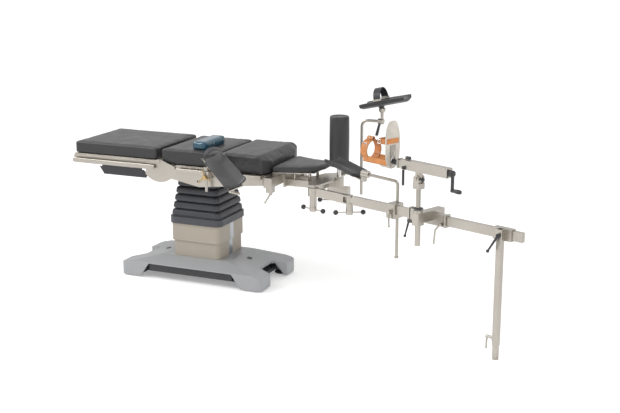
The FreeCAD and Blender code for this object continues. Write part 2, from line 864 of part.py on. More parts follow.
def extension_frame():
    # Two rails, their end plates, the wing plates of the pivots and the socket.
    pieces = []
    for side in (-1, 1):
        y = side * frame_rail_y
        pieces.append(box_tube(beam_x1, frame_end_x, y - frame_rail_width / 2, y + frame_rail_width / 2,
                               frame_rail_z0, frame_rail_z1, 3))
    pieces.append(block(beam_x1, beam_x1 + 10, -120, 120, frame_rail_z0, beam_z1 - 4))
    pieces.append(block(frame_end_x, frame_end_x + 8, -90, frame_rail_y - 10, frame_rail_z0, wing_z))
    wing = plan([(wing_x1 - 122, 75), (wing_x1 - 162, -75), (pivot_x - 34, pivot_y + 6),
                 (pivot_x - 18, pivot_y - 26), (pivot_x + 18, pivot_y - 26), (pivot_x + 34, pivot_y + 6),
                 (wing_x1, -75), (wing_x1, 112), (wing_x1 - 62, 118)],
                wing_z, wing_z + wing_thickness)
    pieces.append(wing)
    pieces.append(block(frame_end_x - 90, frame_end_x, -75, 75, frame_rail_z1, wing_z))
    pieces.append(rod((pivot_x, pivot_y, near_post_low), (pivot_x, pivot_y, wing_z), arm_post_r))
    pieces.append(rod((pivot_x, pivot_y, near_post_low - knob_height), (pivot_x, pivot_y, near_post_low),
                      knob_stud_r))
    pieces.append(rod((right_pivot_x, right_pivot_y, right_post_low), (right_pivot_x, right_pivot_y, wing_z),
                      right_post_r))
    pieces.append(rod((right_pivot_x, right_pivot_y, right_post_low - knob_height),
                      (right_pivot_x, right_pivot_y, right_post_low), knob_stud_r))
    arm_block = block(frame_end_x + 8, socket_x, socket_y - 26, socket_y + 26, wing_z - 40, wing_z + wing_thickness)
    pieces.append(arm_block)
    pieces.append(rod((socket_x, socket_y, wing_z - 40), (socket_x, socket_y, socket_top_z), socket_r + 4))
    pieces += crutch_socket()
    frame = fuse(pieces)
    frame = frame.cut(rod((socket_x, socket_y, wing_z - 30), (socket_x, socket_y, 900), post_bar_r + shaft_gap))
    frame = frame.cut(rod((crutch_x, crutch_y, crutch_socket_z0 - 1), (crutch_x, crutch_y, crutch_socket_z1 + 1),
                          crutch_r + shaft_gap))
    return group([frame, pelvic_plate()])


def crutch_socket():
    # Clamp ring of the knee crutch and the flat bar that holds it on the wing.
    ring = rod((crutch_x, crutch_y, crutch_socket_z0), (crutch_x, crutch_y, crutch_socket_z1), crutch_socket_r)
    low = wing_z + wing_thickness
    bar = plan([(858, 84), (crutch_x, crutch_y - 12), (crutch_x, crutch_y + 12), (858, 110)], low, low + 18)
    return [ring, bar]


def perineal_post():
    bar = rod((socket_x, socket_y, wing_z - 29), (socket_x, socket_y, perineal_low_z + 40), post_bar_r)
    flange = rod((socket_x, socket_y, perineal_low_z - 8), (socket_x, socket_y, perineal_low_z), perineal_r - 12)
    pad = rod((socket_x, socket_y, perineal_low_z), (socket_x, socket_y, perineal_top_z), perineal_r)
    rims = [e for e in pad.Edges if e.BoundBox.ZLength < 0.01]
    pad = pad.makeFillet(14, rims)
    return fuse([bar, flange, pad])


def pelvic_section(x, half, z, thick):
    return Part.makePolygon([vec(x, -half, z), vec(x, half, z), vec(x, half, z + thick),
                             vec(x, half * 0.6, z + thick + 5), vec(x, -half * 0.6, z + thick + 5),
                             vec(x, -half, z + thick), vec(x, -half, z)])


def pelvic_pad():
    # A thin pad from the seat to the post, narrower and raised at its end.
    rings = [pelvic_section(seat_x1 + 3, 196, pelvic_z, pelvic_thickness),
             pelvic_section(690, 150, pelvic_z - 2, pelvic_thickness),
             pelvic_section(790, 112, pelvic_z + 4, pelvic_thickness),
             pelvic_section(pelvic_x1, 76, pelvic_z + 22, pelvic_thickness - 8)]
    return Part.makeLoft(rings, True, True)


def pelvic_plate():
    # The sheet under the pad, its legs on the frame rails.
    high = pelvic_z - 2 - seat_gap
    low = high - 4
    sheet = plan([(beam_x1 - 38, -190), (690, -146), (790, -106), (790, 106), (690, 146), (beam_x1 - 38, 190)],
                 low, high)
    legs = []
    for x in (640.0, 740.0):
        for side in (-1, 1):
            legs.append(rod((x, side * frame_rail_y, frame_rail_z1), (x, side * frame_rail_y, low), 9))
    foot = block(seat_x1 + 4, beam_x1 - 4, -190, 190, beam_z1, low)
    return fuse([sheet, foot] + legs)


def ring_eye(outer, bore, z0, z1):
    return pipe((0, 0, z0), (0, 0, z1), outer, bore)


def inner_arm_left():
    # Ring on the first post, box tube, and the fork with the second post.
    top = arm_z0 + arm_height
    ring_r = arm_post_r + arm_ring_wall
    tube = box_tube(ring_r - 4, arm_length - 46, -arm_width / 2, arm_width / 2, arm_z0, top, arm_wall)
    cheek = block(arm_length - 50, arm_length - 30, -22, 22, arm_z0, top)
    parts = [rod((0, 0, arm_z0), (0, 0, top), ring_r), tube, cheek]
    for z in (arm_z0, top - fork_plate):
        plate = block(arm_length - 34, arm_length, -22, 22, z, z + fork_plate)
        parts += [plate, rod((arm_length, 0, z), (arm_length, 0, z + fork_plate), 22)]
    parts.append(rod((arm_length, 0, outer_post_low), (arm_length, 0, arm_z0), arm_post_r))
    parts.append(rod((arm_length, 0, outer_post_low - knob_height), (arm_length, 0, outer_post_low), knob_stud_r))
    parts.append(rod((arm_length, 0, arm_z0), (arm_length, 0, top), eye_pin_r - shaft_gap))
    arm = fuse(parts)
    arm = arm.cut(rod((0, 0, arm_z0 - 1), (0, 0, top + 1), arm_post_r + shaft_gap))
    return on_arm(arm, 0)


def outer_bar_left():
    # Long box bar with its eye between the fork plates and a plug at its tip.
    top = arm_z0 + arm_height
    z0 = arm_z0 + fork_plate + slide_gap
    z1 = top - fork_plate - slide_gap
    neck = block(0, 40, -arm_width / 2, arm_width / 2, z0, z1)
    eye = rod((0, 0, z0), (0, 0, z1), eye_r)
    tube = box_tube(30, bar_length, -arm_width / 2, arm_width / 2, arm_z0, top, arm_wall)
    cap = block(bar_length - 4, bar_length + 3, -arm_width / 2, arm_width / 2, arm_z0, top)
    bar = fuse([neck, eye, tube, cap, block(30, 44, -arm_width / 2, arm_width / 2, arm_z0, top)])
    bar = bar.cut(rod((0, 0, z0 - 1), (0, 0, z1 + 1), eye_pin_r))
    return on_arm(bar, arm_length)


def inner_arm_right():
    # The short far arm: a box hung on its post, with a bearing tube inside.
    x0 = right_arm_x0 - right_pivot_x
    x1 = right_arm_x1 - right_pivot_x
    z0 = right_arm_z0
    z1 = right_arm_z0 + arm_height
    tube = box_tube(x0, x1, -right_arm_half_width, right_arm_half_width, z0, z1, arm_wall)
    ends = []
    for x in (x0, x1 - arm_wall):
        ends.append(block(x, x + arm_wall, -right_arm_half_width, right_arm_half_width, z0, z1))
    bearing = rod((0, 0, z0), (0, 0, z1), right_arm_half_width - 1)
    arm = fuse([tube, bearing] + ends)
    arm = arm.cut(rod((0, 0, z0 - 1), (0, 0, z1 + 1), right_post_r + shaft_gap))
    return turned(arm, 0, right_pivot_x, right_pivot_y)


def tommy_bar(x, y, top, radius, angle, slid=0.0):
    # Clamp nut with a sliding cross rod and two ball ends.
    low = top - knob_height
    hub = rod((0, 0, low), (0, 0, top - seat_gap), radius)
    hub = hub.cut(rod((0, 0, low - 1), (0, 0, top + 1), knob_stud_r + shaft_gap))
    mid = low + knob_height / 2
    parts = [hub]
    for side in (-1, 1):
        end = side * handle_half + slid
        parts.append(rod((side * (knob_stud_r + 2), 0, mid), (end, 0, mid), handle_rod_r))
        parts.append(ball((end, 0, mid), handle_ball_r, (1, 0, 0)))
    return turned(fuse(parts), angle, x, y)


def inner_arm_handle():
    return tommy_bar(pivot_x, pivot_y, near_post_low, arm_post_r, near_handle_angle)


def outer_arm_handle():
    x, y = along_arm(arm_length)
    return tommy_bar(x, y, outer_post_low, arm_post_r, outer_handle_angle)


def right_arm_handle():
    return tommy_bar(right_pivot_x, right_pivot_y, right_post_low, right_post_r, far_handle_angle,
                     far_handle_slid)


def beam_lever():
    # Clamp screw under the near end of the cross beam with its hanging lever.
    x = (beam_x0 + beam_x1) / 2
    y = -beam_half + 42
    top = beam_z0 - 34 - seat_gap
    stem = rod((x, y, top - 16), (x, y, top), 11)
    arm = lever((x, y, top - 10), (x - 34, y - 6, top - 66), 6, 6)
    return fuse([stem, arm])


# Leg rest

def rod_spot():
    x, y = along_arm(arm_length + rod_clamp_s, rod_offset)
    return x, y


def rod_clamp():
    # Block around the bar with the upright bore of the rod beside it.
    half = rod_clamp_length / 2
    top = arm_z0 + arm_height
    side = arm_width / 2
    outer = block(-half, half, -side - 14, rod_offset + rod_r + 10, arm_z0 - 22, top + 8)
    outer = outer.makeFillet(5, upright_edges(outer))
    gap = block(-half - 1, half + 1, -side - slide_gap, side + slide_gap, arm_z0 - slide_gap, top + slide_gap)
    bore = rod((0, rod_offset, arm_z0 - 40), (0, rod_offset, top + 20), rod_r + shaft_gap)
    screw = rod((0, -side - 34, arm_z0 + 16), (0, -side - 14, arm_z0 + 16), 12)
    arm = lever((0, -side - 28, arm_z0 + 12), (10, -side - 34, arm_z0 - 62), 6, 7)
    clamp = fuse([outer.cut(gap).cut(bore), screw, arm])
    return on_arm(clamp, arm_length + rod_clamp_s)


def bent_rod(points, radii, radius):
    # A round rod along straight runs with tangent arcs at the corners.
    corners = [vec(*p) for p in points]
    edges = []
    start = corners[0]
    for k in range(1, len(corners) - 1):
        before = corners[k - 1] - corners[k]
        after = corners[k + 1] - corners[k]
        before.normalize()
        after.normalize()
        turn = math.pi - before.getAngle(after)
        back = radii[k - 1] * math.tan(turn / 2)
        a = corners[k] + before * back
        b = corners[k] + after * back
        inward = before + after
        inward.normalize()
        centre = corners[k] + inward * (radii[k - 1] / math.cos(turn / 2))
        mid = centre - inward * radii[k - 1]
        edges.append(Part.LineSegment(start, a).toShape())
        edges.append(Part.Arc(a, mid, b).toShape())
        start = b
    edges.append(Part.LineSegment(start, corners[-1]).toShape())
    path = Part.Wire(edges)
    first = corners[1] - corners[0]
    section = Part.Wire([Part.Circle(corners[0], first, radius).toShape()])
    return path.makePipeShell([section], True, False)


def leg_rest_rod():
    x, y = rod_spot()
    bar = bent_rod([(x, y, rod_low_z), (x, y, rod_top_z), rest_end], [rod_bend_r], rod_r)
    stop = rod((x, y, rod_low_z - 6), (x, y, rod_low_z + 4), rod_r + 3)
    return fuse([bar, stop])


def gutter(length, inner_r, thickness, width):
    # A trough along X with its floor at the origin.
    outer = rod((-length / 2, 0, inner_r), (length / 2, 0, inner_r), inner_r + thickness)
    inner = rod((-length / 2 - 1, 0, inner_r), (length / 2 + 1, 0, inner_r), inner_r)
    trough = outer.cut(inner)
    keep = block(-length / 2, length / 2, -width / 2, width / 2, -thickness - 1, inner_r)
    return trough.common(keep)


def aim(shape, start, end, roll=0.0):
    # Lays a local shape's X axis from start to end, centred between them.
    a = vec(*start)
    b = vec(*end)
    way = b - a
    heading = math.degrees(math.atan2(way.y, way.x))
    pitch = math.degrees(math.atan2(way.z, math.hypot(way.x, way.y)))
    copy = shape.copy()
    copy.rotate(vec(0, 0, 0), vec(1, 0, 0), roll)
    copy.rotate(vec(0, 0, 0), vec(0, 1, 0), -pitch)
    copy.rotate(vec(0, 0, 0), vec(0, 0, 1), heading)
    copy.translate((a + b) * 0.5)
    return copy


def leg_rest_pad():
    run = (vec(*leg_pad_low) - vec(*leg_pad_high)).Length
    pad = gutter(run, leg_pad_r, leg_pad_thickness, leg_pad_width)
    pad = aim(pad, leg_pad_high, leg_pad_low)
    return pad


def rest_axis():
    # The way the rod's upper run points, from its end back to the bend.
    across = vec(*rod_spot(), rod_top_z) - vec(*rest_end)
    across.normalize()
    return across


def leg_rest_joint():
    # Round clamp on the rod's end with the bracket under the gutter.
    across = rest_axis()
    a = vec(*rest_end) - across * 12
    hub = Part.makeCylinder(20, 46, a, across)
    run = (vec(*leg_pad_low) - vec(*leg_pad_high)).Length
    low = -leg_pad_thickness - seat_gap - 6
    strip = block(run / 2 - 70, run / 2 + 60, -12, 12, low, low + 6)
    lug = block(run / 2 + 36, run / 2 + 60, -12, 12, low, 12)
    whole = fuse([hub, aim(fuse([strip, lug]), leg_pad_high, leg_pad_low)])
    return whole.cut(Part.makeCylinder(rod_r + shaft_gap, 90, vec(*rest_end) - across * seat_gap, across))


# Traction carriage and post

def carriage_heading():
    return math.degrees(math.atan2(cross_far[1] - post_y, cross_far[0] - post_x))


def carriage_top():
    return arm_z0 + arm_height + slide_gap + sleeve_wall


def traction_carriage():
    # Sleeve around the bar, the thick cross arm through it and the upright bore of the post.
    half = carriage_length / 2
    side = arm_width / 2 + slide_gap
    low = arm_z0 - slide_gap
    top = arm_z0 + arm_height + slide_gap
    sleeve = block(-half, half, -side - sleeve_wall, side + sleeve_wall, low - sleeve_wall, top + sleeve_wall)
    ends = []
    for x in (-half, half - 14):
        ends.append(block(x, x + 14, -side - sleeve_wall - 3, side + sleeve_wall + 3, low - sleeve_wall - 3,
                          top + sleeve_wall + 3))
    sleeve = on_arm(fuse([sleeve] + ends), arm_length + carriage_s)
    length = math.hypot(cross_far[0] - post_x, cross_far[1] - post_y)
    high = carriage_top() + cross_rise
    cross = block(0, length, -cross_width / 2, cross_width / 2, cross_low_z, high)
    post_block = block(-26, 26, -cross_width / 2, cross_width / 2, cross_block_z0, high)
    cross = turned(fuse([cross, round_uprights(post_block, 6)]), carriage_heading(), post_x, post_y)
    channel = on_arm(block(-half - 1, half + 1, -side, side, low, top), arm_length + carriage_s)
    bore = rod((post_x, post_y, cross_block_z0 - 5), (post_x, post_y, high + 5), post_tube_r)
    return group([fuse([sleeve, cross]).cut(channel).cut(bore), post_sleeve()])


def post_sleeve():
    # The outer tube of the post with its collar ring on the cross arm.
    top = carriage_top() + cross_rise
    tube = pipe((post_x, post_y, post_tube_low), (post_x, post_y, top + 20), post_tube_r, post_rod_r + shaft_gap)
    nut = pipe((post_x, post_y, top), (post_x, post_y, top + 14), 25, post_tube_r)
    return fuse([tube, nut])


def traction_post():
    return rod((post_x, post_y, post_rod_low), (post_x, post_y, post_rod_top + 20), post_rod_r)


def carriage_lever():
    # Cranked steel clamp lever on the sleeve's near face, close to its foot end.
    x = carriage_length / 2 - 26
    y = -arm_width / 2 - slide_gap - sleeve_wall - seat_gap
    z = arm_z0 + 7
    stem = rod((x, y - 20, z), (x, y, z), 9)
    arm = bent_rod([(x, y - 16, z), (x - 26, y - 22, z - 32), (x - 32, y - 24, z - 110)], [12], 5)
    return on_arm(fuse([stem, arm]), arm_length + carriage_s)


def post_clamp_lever():
    # The post's height clamp: a long screw out of the block's side and a hanging lever.
    side = cross_width / 2 + seat_gap
    z = cross_block_z0 + 12
    screw = rod((0, side, z), (0, side + 46, z), 9)
    arm = lever((0, side + 40, z), (-7, side + 60, z - 86), 6, 8)
    return turned(fuse([screw, arm]), carriage_heading(), post_x, post_y)


def unit_frame(shape):
    # The screw unit's own frame: X along its tube, origin over the post.
    return turned(shape, unit_angle, post_x, post_y, unit_z)


def tilt_head():
    # Clevis on the post top that carries the screw unit's trunnion.
    drop = unit_z - head_low_z
    pivot = unit_z - head_pivot_z
    body = block(-24, 24, -24, 24, -drop, -drop + 30)
    body = round_uprights(body, 6)
    parts = [body]
    for side in (-1, 1):
        y0, y1 = sorted((side * 14, side * 24))
        parts.append(block(-18, 18, y0, y1, -drop + 28, -pivot))
        parts.append(rod((0, y0, -pivot), (0, y1, -pivot), 18))
    head = fuse(parts)
    head = head.cut(rod((0, -40, -pivot), (0, 40, -pivot), 8))
    head = head.cut(rod((0, 0, -drop - 5), (0, 0, post_rod_top + 20 - unit_z), post_rod_r + shaft_gap))
    return unit_frame(head)


def traction_housing():
    # Square screw tube, its end block, the ram's lock collar and the trunnion in the clevis.
    half = unit_width / 2
    rise = unit_height / 2
    pivot = unit_z - head_pivot_z
    tube = box_tube(-unit_back, unit_front, -half, half, -rise, rise, unit_wall)
    end = block(unit_front - 8, unit_front, -half, half, -rise, rise)
    end = end.cut(rod((unit_front - 10, 0, 0), (unit_front + 2, 0, 0), 6 + shaft_gap))
    bore = ram_half + slide_gap
    collar = block(-unit_back - lock_collar_length, -unit_back, -half, half, -rise, rise)
    collar = collar.cut(block(-unit_back - lock_collar_length - 1, -unit_back + 1, -bore, bore, -bore, bore))
    middle = -unit_back - lock_collar_length / 2
    knob = fuse([rod((middle - 8, 0, rise), (middle - 8, 0, rise + 16), 5),
                 rod((middle - 2, 0, rise + 11), (middle + 22, 0, rise + 11), 8)])
    grip = fuse([rod((middle, -half - 10, -14), (middle, -half, -14), 8),
                 lever((middle, -half - 6, -14), (middle + 2, -half - 8, -106), 6, 6)])
    lug = block(-14, 14, -13.6, 13.6, -pivot - 14, -rise)
    pin = rod((0, -30, -pivot), (0, 30, -pivot), 8 - shaft_gap)
    return unit_frame(fuse([tube, end, collar, knob, grip, lug, pin]))


def traction_slide():
    # Square ram with the nose plate of the boot; the lead screw turns inside it.
    nose = -nose_reach
    rear = unit_front - 90
    rise = unit_height / 2
    ram = box_tube(nose + ram_plate, rear, -ram_half, ram_half, -ram_half, ram_half, 4)
    plate = block(nose, nose + ram_plate, -ram_half - 4, ram_half + 4, -rise, rise)
    plate = plate.cut(rod((nose - 1, 0, 0), (nose + ram_plate + 1, 0, 0), 6))
    nut = block(rear - 24, rear, -ram_half + 2, ram_half - 2, -ram_half + 2, ram_half - 2)
    nut = nut.cut(rod((rear - 30, 0, 0), (rear + 5, 0, 0), 8 + shaft_gap))
    return unit_frame(fuse([ram, plate, nut]))


def lead_screw():
    screw = rod((-unit_back + 30, 0, 0), (unit_front - 8 - slide_gap, 0, 0), 8)
    neck = rod((unit_front - 10, 0, 0), (unit_front + 14, 0, 0), 6)
    return [screw, neck]


def crank():
    # Lead screw, hub, arm and turning grip in one turning piece.
    x = unit_front + slide_gap
    hub = rod((x, 0, 0), (x + 30, 0, 0), crank_hub_r)
    arm = block(x + 16, x + 26, -9, 9, -crank_arm, 0)
    eye = rod((x + 16, 0, -crank_arm), (x + 26, 0, -crank_arm), 10)
    grip = rod((x + 26, 0, -crank_arm), (x + 30 + crank_grip_length, 0, -crank_arm), crank_grip_r)
    return unit_frame(fuse(lead_screw() + [hub, arm, eye, grip]))


# Boot

def boot_frame(shape):
    # The boot's own frame: origin on the sole where the turning pin's axis meets it.
    copy = shape.copy()
    copy.translate(vec(-boot_reach, 0, 0))
    return unit_frame(copy)


def sole():
    # Sole plate, wide at the forefoot above and narrow at the heel below.
    curve = Part.BSplineCurve()
    curve.interpolate([vec(0, a, b) for a, b in sole_outline], PeriodicFlag=True)
    return Part.Face(Part.Wire([curve.toShape()])).extrude(vec(boot_plate_thickness, 0, 0))


def boot_plate():
    gap = boot_reach - nose_reach - seat_gap
    back = block(boot_plate_thickness, boot_plate_thickness + 5, -20, 20, -30, 90)
    hub = rod((boot_plate_thickness, 0, 0), (gap, 0, 0), boot_hub_r)
    pin = rod((gap - 2, 0, 0), (gap + ram_plate - seat_gap, 0, 0), 6 - shaft_gap)
    plate = fuse([sole(), back, hub, pin])
    return boot_frame(group([plate, heel_cup()]))


def heel_cup():
    # Half-round counter that holds the heel, standing out from the sole's lower end.
    front = -seat_gap
    shell = pipe((-heel_cup_depth, 0, heel_cup_z), (front, 0, heel_cup_z), heel_cup_r, heel_cup_r - boot_plate_thickness)
    keep = block(-heel_cup_depth - 1, front + 1, -heel_cup_r - 1, heel_cup_r + 1,
                 heel_cup_z - heel_cup_r - 1, heel_cup_z - 30)
    return shell.common(keep)


def forefoot_strap():
    # A flat strap that goes behind the sole and round the instep.
    t = strap_thickness
    low = forefoot_strap_z
    high = forefoot_strap_z + forefoot_strap_height
    half = forefoot_strap_half
    back = boot_plate_thickness + seat_gap
    outer = block(-forefoot_strap_depth, back + t, -half - t, half + t, low, high)
    inner = block(-forefoot_strap_depth + t, back, -half, half, low - 1, high + 1)
    return bend_front(outer, 30).cut(bend_front(inner, 30 - t))


def bend_front(shape, radius):
    # Rounds the two upright edges that face the leg.
    front = shape.BoundBox.XMin + 1
    return shape.makeFillet(radius, [e for e in upright_edges(shape) if e.BoundBox.XMax < front])


def boot_straps():
    # The harness: forefoot strap, ankle gaiter and the two side straps between gaiter and sole.
    t = strap_thickness
    a = -gaiter_reach - gaiter_length / 2
    gaiter = pipe((a, 0, gaiter_z), (a + gaiter_length, 0, gaiter_z), gaiter_r, gaiter_r - t)
    pieces = [gaiter]
    inside = gaiter_r - 18
    for side in (-1, 1):
        line = [(a + 12, side * inside), (-seat_gap, side * 42), (-seat_gap, side * (42 + t)),
                (a + 12, side * (inside + t))]
        pieces.append(plan(line, heel_strap_z, heel_strap_z + heel_strap_height))
    return boot_frame(group([fuse(pieces), forefoot_strap()]))


# Floor leg

def leg_centre():
    # The leg's middle line, to the near side of the bar.
    return -arm_width / 2 - bracket_wall - leg_tube / 2


def support_bracket():
    # Sleeve around the bar's end with the square socket of the floor leg on its near side.
    side = arm_width / 2 + slide_gap
    low = arm_z0 - slide_gap
    top = arm_z0 + arm_height + slide_gap
    sleeve = block(-bracket_half, bracket_half, -side - bracket_wall, side + bracket_wall, low - bracket_wall,
                   top + bracket_wall)
    reach = leg_tube / 2 + slide_gap
    centre = leg_centre()
    socket = block(-reach - bracket_wall, reach + bracket_wall, centre - reach - bracket_wall, -side,
                   low - bracket_wall, top + bracket_wall)
    socket = socket.makeFillet(4, [e for e in upright_edges(socket) if e.BoundBox.YMax < centre])
    channel = block(-bracket_half - 1, bracket_half + 1, -side, side, low, top)
    hole = block(-reach, reach, centre - reach, centre + reach, low - 20, top + 20)
    body = fuse([sleeve, socket]).cut(channel).cut(hole)
    return on_arm(body, arm_length + leg_s)


def support_leg():
    half = leg_tube / 2
    centre = leg_centre()
    outer = block(-half, half, centre - half, centre + half, leg_tube_low, leg_tube_top)
    inner = block(-half + leg_wall, half - leg_wall, centre - half + leg_wall, centre + half - leg_wall,
                  leg_tube_low - 1, leg_tube_top + 1)
    lug = block(-half - 6, -half, centre - 10, centre + 10, leg_tube_low + 20, leg_tube_low + 54)
    cap = block(-half, half, centre - half, centre + half, leg_tube_top - 4, leg_tube_top)
    return on_arm(fuse([outer.cut(inner), lug, cap]), arm_length + leg_s)


def support_foot():
    half = leg_foot_tube / 2
    centre = leg_centre()
    tube = block(-half, half, centre - half, centre + half, leg_pad_height, leg_tube_low + 380)
    pad = Part.makeCone(leg_pad_radius, leg_pad_radius - 2, leg_pad_height, vec(0, centre, 0))
    return on_arm(fuse([tube, pad]), arm_length + leg_s)


def foot_lever():
    # The tightening lever at the lower end of the floor leg: a steel stud and a hanging arm.
    centre = leg_centre()
    x = -leg_tube / 2 - 6 - seat_gap
    z = leg_tube_low + 37
    stem = rod((x - 42, centre, z), (x, centre, z), 8)
    arm = lever((x - 36, centre, z), (x - 40, centre, z - 62), 6, 7)
    return on_arm(fuse([stem, arm]), arm_length + leg_s)


def support_leg_lever():
    # The black clamp lever on its steel stud at the socket's near face.
    y = leg_centre() - leg_tube / 2 - slide_gap - bracket_wall - seat_gap
    z = arm_z0 + 28
    hub = rod((8, y - 16, z), (8, y, z), 11)
    arm = lever((8, y - 12, z), (-38, y - 30, z - 85), 7, 9)
    return on_arm(fuse([hub, arm]), arm_length + leg_s)


# Knee crutch

def crutch_tube():
    end = crutch_x + crutch_reach
    bar = bent_rod([(crutch_x, crutch_y, crutch_low_z), (crutch_x, crutch_y, crutch_top_z),
                    (end, crutch_y, crutch_top_z)], [crutch_bend_r], crutch_r)
    return bar


def crutch_axis():
    return vec(crutch_x + crutch_reach + 8, crutch_y, crutch_top_z + crutch_ball_rise)


def crutch_joint():
    # Ball clamp on the tube's end and the stem of the gutter.
    end = crutch_x + crutch_reach
    y = crutch_y
    hub = rod((end - 14, y, crutch_top_z), (end + 18, y, crutch_top_z), 17)
    hub = hub.cut(rod((end - 30, y, crutch_top_z), (end + seat_gap, y, crutch_top_z), crutch_r + shaft_gap))
    stem = rod((end + 8, y, crutch_top_z + 10), (end + 8, y, crutch_top_z + crutch_ball_rise), 9)
    joint = ball((end + 8, y, crutch_top_z + crutch_ball_rise), crutch_ball_r)
    arm = lever((end + 2, y - 14, crutch_top_z), (end - 14, y - 28, crutch_top_z - 80), 6, 8)
    return fuse([hub, stem, joint, arm])


def crutch_pad_frame(shape):
    # From the gutter's own frame, floor middle at the origin, onto the ball.
    copy = shape.copy()
    copy.translate(vec(crutch_pad_shift, 0, crutch_pad_rise))
    copy.rotate(vec(0, 0, 0), vec(0, 1, 0), -crutch_pad_tilt)
    copy.translate(crutch_axis())
    return copy


def crutch_pad():
    pad = gutter(crutch_pad_length, crutch_pad_radius, crutch_pad_thickness, crutch_pad_width)
    cup = rod((-crutch_pad_shift, 0, -crutch_pad_rise + 6), (-crutch_pad_shift, 0, -crutch_pad_thickness + 4),
              crutch_ball_r - 3)
    cup = cup.cut(ball((-crutch_pad_shift, 0, -crutch_pad_rise), crutch_ball_r + shaft_gap))
    return group([crutch_pad_frame(fuse([pad, cup])), crutch_strap()])


def crutch_strap():
    # The strap's arch over the gutter, its ends on the gutter's edges.
    half = crutch_strap_half
    rise = crutch_pad_radius - math.sqrt(crutch_pad_radius ** 2 - half ** 2)
    x = 8 - crutch_pad_shift
    side = crutch_strap_width / 2
    arch = pipe((x - side, 0, rise), (x + side, 0, rise), half, half - 3)
    keep = block(x - side - 1, x + side + 1, -100, 100, rise + seat_gap, 200)
    return crutch_pad_frame(arch.common(keep))


# Arm board

def arm_clamp():
    # Hooked block on the side rail with the upright bore of the board's rod.
    y_out = -rail_y
    top = rail_top_seat
    low = top - rail_height
    x0, x1 = arm_clamp_x - 24, arm_clamp_x + 24
    body = block(x0, x1, y_out - 34, y_out + rail_thickness + 7, low - 16, top + 8)
    slot = block(x0 - 1, x1 + 1, y_out - slide_gap, y_out + rail_thickness + slide_gap, low - slide_gap,
                 top + slide_gap)
    back = block(x0 - 1, x1 + 1, y_out + rail_thickness - 2, y_out + 40, low - 20, top - rail_hook)
    body = body.cut(slot).cut(back)
    bore = rod((arm_clamp_x, y_out - 17, low - 30), (arm_clamp_x, y_out - 17, top + 20), arm_rod_r + shaft_gap)
    return body.cut(bore)


def arm_clamp_knob():
    # Brass screw with a cross knob at the clamp's front.
    y = -rail_y - 34 - seat_gap
    z = rail_top_seat - rail_height - 4
    hub = rod((arm_clamp_x, y - 16, z), (arm_clamp_x, y, z), 14)
    parts = [hub]
    for k in range(3):
        turn = math.radians(100 + 120 * k)
        tip = (arm_clamp_x + 40 * math.cos(turn), y - 14, z + 40 * math.sin(turn))
        parts.append(lever((arm_clamp_x, y - 10, z), tip, 5, 7))
    return fuse(parts)


def board_frame(shape):
    copy = shape.copy()
    copy.rotate(vec(0, 0, 0), vec(1, 0, 0), board_roll)
    copy.rotate(vec(0, 0, 0), vec(0, 1, 0), board_pitch)
    copy.rotate(vec(0, 0, 0), vec(0, 0, 1), board_heading)
    copy.translate(vec(*board_centre))
    return copy


def arm_board():
    # Under-plate of the gutter, its bracket and the rod in the rail clamp.
    plate = block(-board_length / 2 + 30, board_length / 2 - 12, -40, 40, -board_thickness - 10,
                  -board_thickness - 7)
    lip = block(board_length / 2 - 24, board_length / 2 - 12, -44, 44, -board_thickness - 14,
                -board_thickness - 7)
    riser = block(-board_length / 2 + 30, board_length / 2 - 30, -6, 6, -board_thickness - 8,
                  -board_thickness - seat_gap)
    board = board_frame(fuse([plate, lip, riser]))
    y = -rail_y - 17
    shaft = rod((arm_clamp_x, y, arm_rod_low), (arm_clamp_x, y, arm_rod_top), arm_rod_r)
    eye = rod((arm_clamp_x, y, arm_rod_top - 22), (arm_clamp_x, y, arm_rod_top), 15)
    local = vec(-board_length / 2 + 60, 0, -board_thickness - 8)
    mark = board_frame(Part.Vertex(local)).Point
    link = rod((arm_clamp_x, y, arm_rod_top - 11), (mark.x, mark.y, mark.z - 6), 9)
    foot = ball((mark.x, mark.y, mark.z - 6), 11)
    return fuse([board, shaft, eye, link, foot])


def arm_pad():
    pad = board_frame(gutter(board_length, board_trough_r, board_thickness, board_width))
    return group([pad, arm_strap()])


def arm_strap():
    # The strap bowed over the gutter near its rail end.
    half = board_width / 2 - 5
    rise = board_trough_r - math.sqrt(board_trough_r ** 2 - half ** 2)
    x = -board_length / 2 + 70
    arch = pipe((x - 22, 0, rise), (x + 22, 0, rise), half, half - 3)
    keep = block(x - 30, x + 30, -100, 100, rise + seat_gap, 200)
    return board_frame(arch.common(keep))


def arm_release_lever():
    # Swing release under the board: a rod with a cross grip.
    top = board_frame(Part.Vertex(vec(20, 0, -board_thickness - 10 - seat_gap))).Point
    end = (top.x + 62, top.y - 8, top.z - 96)
    stem = rod((top.x, top.y, top.z - 8), end, 6)
    head = ball((top.x, top.y, top.z - 9), 8.5)
    grip = rod((end[0] - 34, end[1], end[2] + 4), (end[0] + 34, end[1], end[2] - 4), 8)
    return fuse([stem, head, grip])


